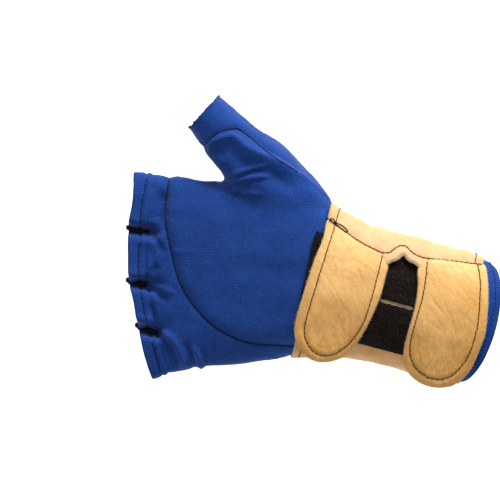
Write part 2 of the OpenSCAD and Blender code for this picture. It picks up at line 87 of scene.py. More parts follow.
# [distance along the hand, x, y, heading, half width, half thickness, height of the back]
SPINE = np.array([
    [-96, -95.0, -18.1, 3.3, FINGER_HALF + 0.2, FINGER_T / 2 - 0.4, 0.8],
    [-86, -84.5, -17.5, 3.3, FINGER_HALF, FINGER_T / 2, 0.6],
    [-73, -71.5, -16.8, 1.0, PALM_W / 2 + 3.4, PALM_T / 2 - 3.5, 0.4],
    [-56, -55.0, -17.0, 0.0, PALM_W / 2 + 0.4, PALM_T / 2 - 1.5, 1.0],
    [-39, -38.0, -16.6, -1.0, PALM_W / 2, PALM_T / 2, 2.8],
    [-21, -20.0, -15.8, -5.0, PALM_W / 2 - 0.8, PALM_T / 2 + 2.0, 5.0],
    [-8, -7.4, -17.9, -11.0, HEEL_W / 2 + 3.4, WRIST_T / 2 - 2.0, WRIST_RISE - 1.1],
    wrist_station(0, -4.0, HEEL_W / 2, -0.7, 1),
    wrist_station(20, -3.4, WRIST_W / 2 + 1, -0.2, 0.92),
    wrist_station(40, -2.4, WRIST_W / 2 - 0.2, 0, 0.66),
    wrist_station(60, -2.5, WRIST_W / 2 - 0.2, 0.2, 0.43),
    wrist_station(80, -3.0, WRIST_W / 2 - 0.8, 0.4, 0.27),
    wrist_station(96, -3.2, WRIST_W / 2 - 1.2, 0.5, 0.2),
])

# Bar tacks between the fingers, and the hole that the thumb leaves through
TACKS = np.array([23, -4.5, -28]) / FINGER_HALF
TACK_LEN, TACK_REACH, TACK_GAP = 9.0, 3.2, 1.3
HOLE_MID, HOLE_HALF, HOLE_ANGLE = -23.2, 22.2, 50.0

# Rings of the thumb: [number, crotch side x, y, outer side x, y, height, half thickness]
THUMB = np.array([
    [1, -46.5, 34.5, -6.0, 35.5, 22.0, 14.5],
    [2, -50.0, 38.5, -20.0, 47.5, 22.0, 13.5],
    [3, -54.0, 43.0, -29.0, 54.5, 21.8, 12.5],
    [4, -58.5, 49.2, -36.5, 62.0, 21.5, 11.8],
    [5, -56 - THUMB_W * 0.336, 64.2 - THUMB_W * 0.37,
     -56 + THUMB_W * 0.336, 64.2 + THUMB_W * 0.37, 21.5, THUMB_T / 2],
])

# Heights of the leather layers over the wrist, and the line where the wrap's two ends meet
WRAP_GAP, SLIT_V = 0.5, -4.4
UNDERLAP_T = 1.2
UNDERLAP_TOP = WRAP_GAP + UNDERLAP_T + 0.1
WRAP_TOP = WRAP_GAP + LEATHER_T
STRAP_LOW = WRAP_TOP + 0.1 + LOOP_T + 0.3 + HOOK_T + 0.1
STRAP_TOP = STRAP_LOW + LEATHER_T


# ---- curves ----

def mix(a, b, t):
    return a + (b - a) * t


def ease(t):
    t = np.clip(t, 0, 1)
    return t * t * (3 - 2 * t)


def bump(d, width):
    return np.exp(-((d / width) ** 2))


def unit(v):
    """Vectors made one long."""
    return v / np.maximum(np.linalg.norm(v, axis=-1, keepdims=True), 1e-9)


def along(table, x):
    """A smooth curve through a table's rows at x in its first column, straight past its ends."""
    rows = np.asarray(table, float)
    xs = rows[:, 0]
    index = np.arange(len(xs))
    low, high = np.maximum(index - 1, 0), np.minimum(index + 1, len(xs) - 1)
    slope = (rows[high] - rows[low]) / (xs[high] - xs[low])[:, None]
    x = np.asarray(x, float)
    inside = np.clip(x, xs[0], xs[-1])
    i = np.clip(np.searchsorted(xs, inside, side="right") - 1, 0, len(xs) - 2)
    h = (xs[i + 1] - xs[i])[..., None]
    t = ((inside - xs[i]) / (xs[i + 1] - xs[i]))[..., None]
    inner = (
        rows[i] * (2 * t**3 - 3 * t * t + 1) + slope[i] * h * (t**3 - 2 * t * t + t)
        + rows[i + 1] * (3 * t * t - 2 * t**3) + slope[i + 1] * h * (t**3 - t * t)
    )
    past = (x - inside)[..., None]
    return inner + past * np.where(past > 0, slope[-1], slope[0])


def smooth_line(points, closed=False, step=2.5):
    """A rounded line through the points, about one step apart."""
    p = np.array(points, float)
    if closed:
        p = np.vstack([p[-1:], p, p[:2]])
    else:
        p = np.vstack([2 * p[0] - p[1], p, 2 * p[-1] - p[-2]])
    made = []
    for a, b, c, d in zip(p, p[1:], p[2:], p[3:]):
        n = max(2, int(np.linalg.norm(c - b) / step))
        t = (np.arange(n) / n)[:, None]
        made.append(0.5 * (2 * b + (c - a) * t + (2 * a - 5 * b + 4 * c - d) * t**2
                           + (3 * b - a - 3 * c + d) * t**3))
    if not closed:
        made.append(p[-2:-1])
    return np.vstack(made)


def beside(points, line, closed=False):
    """(distance, side, share of the length) of 2-D points from a line; side is + on its left."""
    a = line if closed else line[:-1]
    b = np.roll(line, -1, axis=0) if closed else line[1:]
    d = b - a
    length = np.linalg.norm(d, axis=1)
    start = np.concatenate([[0], np.cumsum(length)])
    best = np.full(len(points), 1e9)
    side = np.ones(len(points))
    share = np.zeros(len(points))
    for k in range(len(a)):
        r = points - a[k]
        t = np.clip(r @ d[k] / length[k] ** 2, 0, 1)
        away = r - t[:, None] * d[k]
        dist = np.hypot(away[:, 0], away[:, 1])
        near = dist < best
        best = np.where(near, dist, best)
        turn = d[k][0] * r[:, 1] - d[k][1] * r[:, 0]
        side = np.where(near, np.where(turn >= 0, 1.0, -1.0), side)
        share = np.where(near, (start[k] + t * length[k]) / start[-1], share)
    return best, side, share


def within(points, line):
    """Distance inside a closed anticlockwise outline, negative outside it."""
    dist, side, _ = beside(points, line, closed=True)
    return dist * side


def waves(p, size, seed, count=18):
    """Smooth seeded noise between about -1 and 1, with bumps of about that size."""
    pick = np.random.default_rng(seed)
    total = np.zeros(len(p))
    for _ in range(count):
        way = unit(pick.normal(size=p.shape[1]))
        total += np.sin(p @ way * 2 * math.pi / (size * pick.uniform(0.7, 1.6)) + pick.uniform(0, 6.28))
    return total / math.sqrt(count)


# ---- the surface of the hand ----

def squareness(length):
    """The exponent of the hand's section: squarish at the fingers, nearly an ellipse at the wrist."""
    return mix(2.7, 2.25, ease((length + 40) / 45))


def finger_edge(f):
    """How far along the hand the finger openings' edge lies."""
    return -95.2 + 7.6 * (np.abs(f * FINGER_HALF - 3.5) / 52) ** 2.6


def cuff_edge(f, side):
    """How far along the hand the cuff ends, on the palm (side above 0) or the back."""
    return 82 + np.where(side > 0, 10.4, 3.0) * np.sqrt(np.clip(1 - f * f, 0, 1))


def pinch(length, f):
    """How strongly the bar tacks gather the section, from 0 to 1."""
    near = np.max([bump((f - t) * FINGER_HALF, TACK_REACH) for t in TACKS], axis=0)
    return near * (1 - ease((length - finger_edge(f) - TACK_LEN) / 11))


def section(f, n):
    """Height of a section at the fraction f of its half width, as a share of its half thickness."""
    return np.clip(1 - np.abs(f) ** n, 0, 1) ** (1 / n)


def cos_sin(angle):
    return np.cos(np.radians(angle)), np.sin(np.radians(angle))


def skin(length, f, side, off):
    """A point of the hand's surface, off outside it: f is the fraction of the half width."""
    length, f, side, off = np.broadcast_arrays(*map(np.asarray, (length, f, side, off)))
    g = along(SPINE, length)
    v = f * (g[..., 4] + off)
    high = (g[..., 5] + off) * section(f, squareness(length))
    high = mix(high, TACK_GAP + off, pinch(length, f))
    heading = np.radians(g[..., 3])
    return np.stack([g[..., 1] - np.sin(heading) * v, g[..., 2] + np.cos(heading) * v,
                     g[..., 6] + g[..., 5] + side * high], axis=-1) - CENTRE


def skin_round(length, angle, off):
    """The same, by the angle round the section from the thumb side, in degrees."""
    c, s = cos_sin(angle)
    return skin(length, np.sign(c) * np.abs(c) ** (2 / squareness(length)), np.where(s < 0, -1, 1), off)


def hole_point(angle, off):
    """A point of the rim of the thumb's hole, by the angle round it."""
    c, s = cos_sin(angle)
    return skin_round(HOLE_MID + (HOLE_HALF + off) * c, (HOLE_ANGLE + 2 * off) * s, 0)


def thumb_ring(k, angle, off):
    """A point of the thumb's tube past the root: a slanting ellipse between its two sides."""
    g = along(THUMB, k)
    inner, outer = g[..., [1, 2, 5]], g[..., [3, 4, 5]]
    half = (outer - inner) / 2
    wide = 1 + off / np.linalg.norm(half, axis=-1)
    c, s = cos_sin(angle)
    up = np.stack([0 * s, 0 * s, (g[..., 6] + off) * s], axis=-1)
    return (inner + outer) / 2 + half * (wide * c)[..., None] + up - CENTRE


def thumb_point(k, angle, off):
    """A point of the thumb: k runs from 0 at the hand to 5 at the opening."""
    k, angle = np.broadcast_arrays(np.asarray(k, float), np.asarray(angle, float))
    ring = thumb_ring(np.maximum(k, 1), angle, off)
    low = np.clip(k, 0, 1)[..., None]
    bulge = 2.4 * np.sin(np.pi * np.clip(k, 0, 1)) * np.maximum(0, np.cos(np.radians(angle)))
    root = mix(hole_point(angle, off), thumb_ring(np.ones_like(k), angle, off), low)
    root = root + bulge[..., None] * np.array([0.6, 0.8, 0])
    return np.where(k[..., None] >= 1, ring, root)


# ---- the wrist's own frame: u along the forearm, v to the thumb ----

def wrist_uv(points):
    """u and v of points."""
    flat = points[:, :2] + CENTRE[:2] - WRIST_MID
    return np.stack([flat @ FOREARM, flat @ THUMBWARD], axis=1)


def wrist_f(u, v, off):
    """The fraction of the half width at u and v."""
    g = along(SPINE, u + WRIST_ZERO)
    middle = (g[..., 1:3] - WRIST_MID) @ THUMBWARD
    return (v - middle) / (g[..., 4] + off)


def wrist_height(u, v, off):
    """Height of the wrist's palm side over u and v, off outside it, above the CAD drawing's zero."""
    g = along(SPINE, u + WRIST_ZERO)
    shape = section(wrist_f(u, v, off), squareness(u + WRIST_ZERO))
    return g[..., 6] + g[..., 5] + (g[..., 5] + off) * shape


def wrist_point(u, v, height):
    """The point over u and v at that height above the CAD drawing's zero."""
    flat = WRIST_MID + u[..., None] * FOREARM + v[..., None] * THUMBWARD
    return np.concatenate([flat, height[..., None]], axis=-1) - CENTRE


def section_angle(u, v, off):
    """The angle round the section that skin_round() would take for u and v."""
    f = wrist_f(u, v, off)
    cosine = np.sign(f) * np.minimum(1, np.abs(f)) ** (squareness(u + WRIST_ZERO) / 2)
    return np.degrees(np.arccos(cosine))


# ---- meshes ----

def grid_faces(rows, cols, wrap=False):
    """The quads of a grid of points, closed round its columns with wrap."""
    i, j = np.meshgrid(np.arange(rows - 1), np.arange(cols if wrap else cols - 1), indexing="ij")
    k = (j + 1) % cols
    return np.stack([i * cols + j, i * cols + k, (i + 1) * cols + k, (i + 1) * cols + j], -1).reshape(-1, 4)


def tube_faces(rings, sides):
    """The faces of a tube of rings of points, closed at both ends."""
    last = rings * sides - 1
    ends = [list(range(sides)), list(range(last, last - sides, -1))]
    return grid_faces(rings, sides, True)[:, ::-1].tolist() + ends


def as_one(shapes):
    """(points, faces) of several shapes in one mesh."""
    first = np.cumsum([0] + [len(points) for points, _ in shapes]).tolist()
    faces = [[a + k for a in f] for (_, made), k in zip(shapes, first) for f in made]
    return np.vstack([points for points, _ in shapes]), faces


def make_mesh(name, points, faces):
    """A Blender mesh object in millimetres. finish_piece() turns it into metres."""
    mesh = bpy.data.meshes.new(name)
    mesh.from_pydata(points.tolist() if hasattr(points, "tolist") else points, [],
                     faces.tolist() if hasattr(faces, "tolist") else faces)
    mesh.update()
    obj = bpy.data.objects.new(name, mesh)
    bpy.context.scene.collection.objects.link(obj)
    return obj


def vectors(items, field):
    found = np.zeros(len(items) * 3, np.float32)
    items.foreach_get(field, found)
    return found.reshape(-1, 3).astype(float)


def places(mesh):
    return vectors(mesh.vertices, "co")


def normals(mesh):
    return vectors(mesh.vertex_normals, "vector")


def set_places(mesh, co):
    mesh.vertices.foreach_set("co", np.ascontiguousarray(co, np.float32).ravel())
    mesh.update()


def drop(obj):
    mesh = obj.data
    bpy.data.objects.remove(obj)
    bpy.data.meshes.remove(mesh)


def remeshed(obj, voxel):
    """One even skin round everything in obj."""
    modifier = obj.modifiers.new("skin", "REMESH")
    modifier.mode = "VOXEL"
    modifier.voxel_size = voxel
    made = bpy.data.meshes.new_from_object(obj.evaluated_get(bpy.context.evaluated_depsgraph_get()))
    new = bpy.data.objects.new(obj.name + "_skin", made)
    bpy.context.scene.collection.objects.link(new)
    drop(obj)
    return new


def relax(mesh, weight, rounds):
    """Moves each point towards the middle of its neighbours, by weight."""
    edges = np.zeros(len(mesh.edges) * 2, np.int32)
    mesh.edges.foreach_get("vertices", edges)
    edges = edges.reshape(-1, 2)
    co = places(mesh)
    count = np.bincount(edges.ravel(), minlength=len(co))[:, None]
    for _ in range(rounds):
        total = np.zeros_like(co)
        for axis in range(3):
            total[:, axis] = np.bincount(edges[:, 0], co[edges[:, 1], axis], len(co))
            total[:, axis] += np.bincount(edges[:, 1], co[edges[:, 0], axis], len(co))
        co += weight[:, None] * (total / count - co)
    set_places(mesh, co)


# A point nearer to a cut than this counts as past it
ON_THE_CUT = 0.03


def masked(field, mask, co):
    """field(co) where mask(co) holds and 1 elsewhere, and where the mask holds."""
    use = np.ones(len(co), bool) if mask is None else mask(co)
    g = np.ones(len(co))
    g[use] = field(co[use])
    return g, use


def slice_along(bm, field, mask):
    """Adds the edges on which field(points) is zero, where mask(points) holds."""
    for stage in (0, 1):
        bm.verts.index_update()
        g, use = masked(field, mask, np.array([v.co[:] for v in bm.verts]))
        g = np.where(np.abs(g) < ON_THE_CUT, ON_THE_CUT, g)
        cut = [e for e in bm.edges
               if (g[e.verts[0].index] > 0) != (g[e.verts[1].index] > 0)
               and use[e.verts[0].index] and use[e.verts[1].index]]
        if stage == 0:
            # a dict keeps the order, which a set of faces doesn't
            crossed = dict.fromkeys(f for e in cut for f in e.link_faces if len(f.verts) > 3)
            bmesh.ops.triangulate(bm, faces=list(crossed))
    values = g.tolist()
    fresh = {}
    for e in cut:
        a, b = e.verts
        share = values[a.index] / (values[a.index] - values[b.index])
        fresh[bmesh.utils.edge_split(e, a, share)[1]] = True
    for face in dict.fromkeys(f for v in fresh for f in v.link_faces):
        ends = [v for v in face.verts if v in fresh]
        if len(ends) == 2 and not any(ends[1] in e.verts for e in ends[0].link_edges):
            bmesh.utils.face_split(face, ends[0], ends[1])


def keep_where(bm, field, mask):
    """Deletes the faces whose middles have a field below zero, where mask holds."""
    faces = list(bm.faces)
    g, _ = masked(field, mask, np.array([f.calc_center_median()[:] for f in faces]))
    bmesh.ops.delete(bm, geom=[f for f, x in zip(faces, g) if x < 0], context="FACES")
    bmesh.ops.delete(bm, geom=[v for v in bm.verts if not v.link_faces], context="VERTS")


def surface_from(points, faces):
    """(points, normals, faces) of an open surface."""
    obj = make_mesh("surface", points, faces)
    found = points, normals(obj.data), faces
    drop(obj)
    return found


def cut_surface(obj, cuts):
    """The surface of obj, which it uses up, cut along each (field, mask, drop_negative) of cuts."""
    bm = bmesh.new()
    bm.from_mesh(obj.data)
    drop(obj)
    for field, mask, drop_negative in cuts:
        slice_along(bm, field, mask)
        if drop_negative:
            keep_where(bm, field, mask)
    mesh = bpy.data.meshes.new("surface")
    bm.to_mesh(mesh)
    bm.free()
    found = places(mesh), normals(mesh), [list(p.vertices) for p in mesh.polygons]
    bpy.data.meshes.remove(mesh)
    return found


def tree_of(surface):
    """A surface that rays and nearest points can be looked up on."""
    return BVHTree.FromPolygons(surface[0].tolist(), surface[2])


def middles_of(co, faces):
    """The middle of each face's corners."""
    count = np.array([len(f) for f in faces])
    corners = co[np.concatenate([np.asarray(f) for f in faces])]
    return np.add.reduceat(corners, np.concatenate([[0], np.cumsum(count)[:-1]])) / count[:, None]


def part_of(surface, use):
    """The faces of a surface that are in use, with only their points."""
    co, nor, faces = surface
    faces = [f for f, used in zip(faces, use) if used]
    used = np.zeros(len(co), bool)
    used[[a for f in faces for a in f]] = True
    number = np.cumsum(used) - 1
    return co[used], nor[used], [[int(number[a]) for a in f] for f in faces]


# How deep each ring of a rounded rim lies, and how far out, as shares
RIM_PROFILE = (0.2, 0.75), (0.5, 1.0), (0.8, 0.75)


def thicken(name, surface, thickness, rounding=0.5, joined=None):
    """A closed sheet from an open surface: its inside lies thickness(points) below it, and its
    rims are rounded, apart from where joined(points) holds and the surface goes on in another
    piece. The rim and the inside have material 1."""
    co, nor, faces = surface
    t = np.broadcast_to(thickness(co) if callable(thickness) else thickness, len(co))[:, None]
    owner = {(a, b) for f in faces for a, b in zip(f, f[1:] + f[:1])}
    rim = sorted((a, b) for a, b in owner if (b, a) not in owner)
    ends = np.array(rim)
    rim_points = np.unique(ends)
    out = np.zeros_like(co)
    np.add.at(out, ends, unit(np.cross(co[ends[:, 1]] - co[ends[:, 0]], nor[ends].sum(1)))[:, None])
    way = unit(out[rim_points])
    sharp = np.zeros(len(rim_points), bool) if joined is None else joined(co[rim_points])
    way[sharp] = 0
    n, m = len(co), len(rim_points)
    deep = t[rim_points] * nor[rim_points]
    rings = [co[rim_points] - deep * depth + way * t[rim_points] * rounding * reach
             for depth, reach in RIM_PROFILE]
    points = np.vstack([co, co - nor * t] + rings)
    # each level gives the number of a rim point's copy: outside, three rings, inside
    numbers = rim_points.tolist()
    levels = [numbers] + [range(2 * n + r * m, 2 * n + (r + 1) * m) for r in range(3)]
    levels = [dict(zip(numbers, level)) for level in levels + [[n + a for a in numbers]]]
    inside = [[n + a for a in reversed(f)] for f in faces]
    rim_faces = [[hi[b], hi[a], lo[a], lo[b]] for hi, lo in zip(levels, levels[1:]) for a, b in rim]
    obj = make_mesh(name, points, list(faces) + inside + rim_faces)
    obj.data.materials.append(None)
    obj.data.materials.append(None)
    obj.data.polygons.foreach_set(
        "material_index", [0] * len(faces) + [1] * (len(inside) + len(rim_faces)))
    if sharp.any():
        hard = set(rim_points[sharp].tolist())
        edge = {tuple(sorted(e)) for e in rim if hard.intersection(e)}
        for e in obj.data.edges:
            if tuple(sorted(e.vertices)) in edge:
                e.use_edge_sharp = True
    return obj


def finish_piece(obj, materials, body, replaced=()):
    """Metres, smooth shading and materials; the piece is parented to its body's empty when the body is a
    name, else its transform is baked, and the CAD parts it replaces are hidden.
    """
    set_places(obj.data, places(obj.data) * MM)
    obj.data.polygons.foreach_set("use_smooth", [True] * len(obj.data.polygons))
    for i, material in enumerate(materials):
        if i < len(obj.data.materials):
            obj.data.materials[i] = material
        else:
            obj.data.materials.append(material)
    if isinstance(body, str):
        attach(obj, body)
    else:
        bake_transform(obj)
    if replaced:
        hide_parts(*replaced)


# ---- materials ----

class Value:
    """A number that a material's nodes work out. Sums with it add nodes to the material."""

    def __init__(self, tree, socket):
        self.tree = tree
        self.socket = socket

    def maths(self, operation, other=0.5, clamp=False, swapped=False):
        node = self.tree.nodes.new("ShaderNodeMath")
        node.operation = operation
        node.use_clamp = clamp
        for socket, value in zip(node.inputs, (other, self) if swapped else (self, other)):
            if isinstance(value, Value):
                self.tree.links.new(value.socket, socket)
            else:
                socket.default_value = value
        return Value(self.tree, node.outputs[0])

    def __add__(self, other):
        return self.maths("ADD", other)

    def __sub__(self, other):
        return self.maths("SUBTRACT", other)

    def __rsub__(self, other):
        return self.maths("SUBTRACT", other, swapped=True)

    def __mul__(self, other):
        return self.maths("MULTIPLY", other)

    def __abs__(self):
        return self.maths("ABSOLUTE")

    def capped(self, factor):
        """The value times a factor, kept between 0 and 1."""
        return self.maths("MULTIPLY", factor, clamp=True)


class Nodes:
    """A small helper for a material's node tree."""

    def __init__(self, name, roughness, **sockets):
        self.material = bpy.data.materials.new(name)
        self.material.use_nodes = True
        self.tree = self.material.node_tree
        self.shader = self.tree.nodes["Principled BSDF"]
        self.shader.inputs["Roughness"].default_value = roughness
        for socket, value in sockets.items():
            self.shader.inputs[socket.replace("_", " ")].default_value = value
        self.place = self.add("ShaderNodeTexCoord").outputs["Object"]

    def link(self, source, target):
        self.tree.links.new(source.socket if isinstance(source, Value) else source, target)

    def add(self, kind, links=(), **settings):
        node = self.tree.nodes.new(kind)
        for key, value in settings.items():
            if key in node.inputs:
                node.inputs[key].default_value = value
            else:
                setattr(node, key, value)
        for socket, source in dict(links).items():
            self.link(source, node.inputs[socket])
        return node

    def values(self, vector):
        """The x, y and z of a vector."""
        outputs = self.add("ShaderNodeSeparateXYZ", {"Vector": vector}).outputs
        return [Value(self.tree, outputs[axis]) for axis in "XYZ"]

    def scaled(self, scale, turn=0.0):
        """The place, turned by -turn about Z and then scaled."""
        node = self.add("ShaderNodeMapping", {"Vector": self.place})
        node.vector_type = "TEXTURE"
        node.inputs["Scale"].default_value = [1 / x for x in scale]
        node.inputs["Rotation"].default_value = (0, 0, turn)
        return node.outputs["Vector"]

    def noise(self, vector, scale, detail=3.0, roughness=0.5, distortion=0.0):
        node = self.add("ShaderNodeTexNoise", {"Vector": vector}, Scale=scale, Detail=detail,
                        Roughness=roughness, Distortion=distortion)
        return Value(self.tree, node.outputs["Fac"])

    def cells(self, scale, **settings):
        node = self.add("ShaderNodeTexVoronoi", {"Vector": self.place}, Scale=scale, **settings)
        return Value(self.tree, node.outputs["Distance"])

    def ramp(self, source, stops):
        node = self.add("ShaderNodeValToRGB", {"Fac": source})
        for element, (at, colour) in zip(node.color_ramp.elements, stops):
            element.position = at
            element.color = (*colour, 1)
        return node.outputs["Color"]

    def finish(self, colour, height=None, distance=0.0002, strength=0.6, roughness=None):
        self.link(colour, self.shader.inputs["Base Color"])
        if roughness is not None:
            self.link(roughness, self.shader.inputs["Roughness"])
        if height is not None:
            node = self.add("ShaderNodeBump", {"Height": height}, Distance=distance, Strength=strength)
            self.link(node.outputs["Normal"], self.shader.inputs["Normal"])
        return self.material


# Width of a column of knit stitches, height of a row, and how far both wander
WALE, COURSE, WANDER = 0.84 * MM, 0.70 * MM, 5 * MM


def knit_material(name, dark, light):
    """Fine jersey: columns of small V stitches along the hand, a speckle and slow shade changes."""
    n = Nodes(name, 0.85, Sheen_Weight=0.10, Sheen_Roughness=0.4, Specular_IOR_Level=0.15)
    x, y, z = n.values(n.place)
    facing_x, _, facing_z = n.values(n.add("ShaderNodeTexCoord").outputs["Normal"])
    # upright faces count their columns by height, and faces across the hand count rows sideways
    upright = abs(facing_z).maths("LESS_THAN", 0.55)
    endways = abs(facing_x).maths("GREATER_THAN", 0.72)
    drift = [(n.noise(n.place, size, 1.0) - 0.5) * WANDER for size in (70, 85)]
    across = z * upright + y * (1.0 - upright) + drift[0]
    along_hand = y * endways + x * (1.0 - endways) + drift[1]
    column = (across * (1 / WALE)).maths("FRACT")
    edge = abs((column - 0.5) * 2.0)
    row = along_hand * (1 / COURSE) + edge * 0.6
    loop = (row * (2 * math.pi)).maths("COSINE") * 0.5 + 0.5
    stitch = loop * (1.0 - edge.maths("POWER", 3.0))
    speckle = n.noise(n.place, 1250, 2.0, 0.6)
    cloud = n.noise(n.scaled((0.5, 1.3, 1.0)), 90, 3.0, 0.5)
    tone = stitch * 0.62 + (speckle * 0.80 + cloud * 0.30)
    return n.finish(n.ramp(tone, [(0.53, dark), (1.12, light)]), stitch, 0.0002, 0.6)


def leather_material(name, dark, light):
    """Soft grain leather: pebble grain, fine slanting creases high up, upright ones low down, and painted
    shade: darker low down and in its creases.
    """
    n = Nodes(name, 0.55, Specular_IOR_Level=0.25, Sheen_Weight=0.03, Sheen_Roughness=0.5)
    grain = n.cells(1050.0, feature="DISTANCE_TO_EDGE").capped(1.8)

    def grooves(turn, long, scale, narrow):
        field = n.noise(n.scaled((long, 1.0, 1.0), turn), scale, 2.0, 0.55, 0.35)
        return abs(field - 0.5).capped(narrow)

    high = grooves(-1.0, 0.3, 330, 18.0) * grooves(-0.8, 0.35, 190, 28.0)
    low = grooves(-1.6, 0.35, 470, 14.0) * grooves(-1.45, 0.3, 280, 20.0)
    share = (n.values(n.place)[1] + 0.048).capped(28.0)
    crease = high * share + low * (1.0 - share)
    blotch = n.noise(n.place, 55, 4.0, 0.55)
    fine = n.noise(n.place, 1900, 2.0, 0.5)
    # share * 0.14 is painted shade: the colour darkens towards -Y, on the wrist's side turned from the key
    # light. crease * 0.10 darkens the creases' grooves: painted shade, with the darker colour leather has in
    # its creases
    tone = blotch * 0.36 + (crease * 0.10 + grain * 0.11) + share * 0.14
    relief = grain * 0.35 + (crease * 0.30 + fine * 0.22)
    colour = n.ramp(tone, [(0.115, dark), (0.53, light)])
    return n.finish(colour, relief, 0.0003, 0.5, blotch * 0.25 + 0.40)


def noise_material(name, dark, light, noise, stops, relief, roughness, **shader):
    """Suede, pile or thread: one noise gives both the tone and the relief."""
    n = Nodes(name, roughness, **shader)
    field = n.noise(n.place, *noise)
    return n.finish(n.ramp(field, list(zip(stops, (dark, light)))), field, *relief)


def foam_material(name, dark, light):
    """Grey foam with fine pores."""
    n = Nodes(name, 0.8, Specular_IOR_Level=0.3)
    pores = n.cells(900.0)
    return n.finish(n.ramp(pores, [(0.0, dark), (0.6, light)]), pores, 0.0004, 0.5)


SUEDE_LOOK = dict(noise=(1400, 4.0, 0.7, 2.0), stops=(0.3, 0.7), relief=(0.0005, 0.9), roughness=0.95,
                  Sheen_Weight=0.3, Sheen_Roughness=0.6, Specular_IOR_Level=0.1)
PILE_LOOK = dict(stops=(0.45, 0.78), relief=(0.0006, 1.0), roughness=0.95,
                 Sheen_Weight=0.06, Sheen_Roughness=0.4, Specular_IOR_Level=0.12)
THREAD_LOOK = dict(noise=(2600, 2.0), stops=(0.35, 0.7), relief=(0.0002, 0.8), roughness=0.7,
                   Specular_IOR_Level=0.15)

KNIT = knit_material("knit_royal", (0.0032, 0.021, 0.135), (0.0165, 0.077, 0.350))
# The same blue knit made darker for the liner's inside and rims: painted shade
KNIT_INSIDE_SHADED = knit_material("knit_inside_shaded", (0.003, 0.015, 0.09), (0.009, 0.045, 0.20))
LEATHER = leather_material("grain_leather", (0.54, 0.238, 0.030), (0.92, 0.570, 0.225))
PALE_LEATHER = leather_material("band_leather", (0.545, 0.290, 0.068), (0.81, 0.450, 0.230))
SUEDE = noise_material("suede_edge", (0.24, 0.135, 0.06), (0.70, 0.51, 0.325), **SUEDE_LOOK)
FUZZ = noise_material("edge_fuzz", (0.50, 0.36, 0.20), (0.92, 0.80, 0.60), **SUEDE_LOOK)
LOOP = noise_material("loop_pile", (0.003, 0.0024, 0.002), (0.058, 0.035, 0.027),
                      (900, 5.0, 0.75, 1.2), **PILE_LOOK)
HOOK = noise_material("hook_pile", (0.0015, 0.0012, 0.001), (0.014, 0.011, 0.010),
                      (1300, 5.0, 0.75, 1.2), **PILE_LOOK)
THREAD = noise_material("black_thread", (0.0015, 0.0015, 0.002), (0.008, 0.008, 0.010), **THREAD_LOOK)
FOAM = foam_material("polymer_foam", (0.25, 0.26, 0.28), (0.5, 0.52, 0.55))
LINING = knit_material("lining_knit", (0.004, 0.004, 0.005), (0.02, 0.02, 0.024))


# ---- outlines, seams and folds of the liner, in millimetres over the palm ----

# Where the folded hem ends at the fingers, from the index finger to the little finger
HEM = smooth_line([[-89.2, 42], [-88.9, 33.7], [-89.5, 20], [-91.5, 7.5], [-91.6, -8], [-91.3, -20.3],
                   [-89.2, -29], [-86.7, -42.8], [-83.4, -57.5], [-80.1, -67.7], [-77.4, -75]])
HEM_SEAM = smooth_line([[-82.8, 42], [-83.2, 34.2], [-83.7, 26.7], [-85.7, 17.7], [-86.4, 2.7],
                        [-87.2, -8.3], [-86.7, -18.8], [-84.0, -36.3], [-80.4, -50.3], [-75.9, -65.3],
                        [-72, -76]])
PAD_SEAM = smooth_line([[-71, 40], [-71.7, 31.2], [-73.1, 21], [-73.4, 9.2], [-70.7, -4.8],
                        [-66.2, -20.8], [-57.7, -34.3], [-45.7, -44.8], [-31.2, -50.8], [-10.7, -52.3],
                        [2, -53], [14, -60], [20, -75]])
THUMB_SEAM = smooth_line([[-66, 45], [-54.2, 47.9], [-48.2, 53.7], [-40.2, 56.2], [-36.2, 55.7],
                          [-28.7, 49.7], [-20.2, 42.7], [-9.2, 35.7], [1.8, 28.2], [9.3, 20.7],
                          [14, 15], [30, 12]])
THUMB_RIDGE = smooth_line([[-53.7, 45.7], [-50.7, 49.2], [-46.2, 51.4], [-41.7, 52.7], [-38.7, 51.7],
                           [-33.7, 46.7], [-28.0, 43.4], [-20.2, 39.7], [-6.2, 32.2], [4, 24]])
INDEX_RIM = smooth_line([[-66, 31.2], [-60.7, 29.8], [-55.2, 28.5], [-50.2, 28.4], [-45.2, 29.2]])

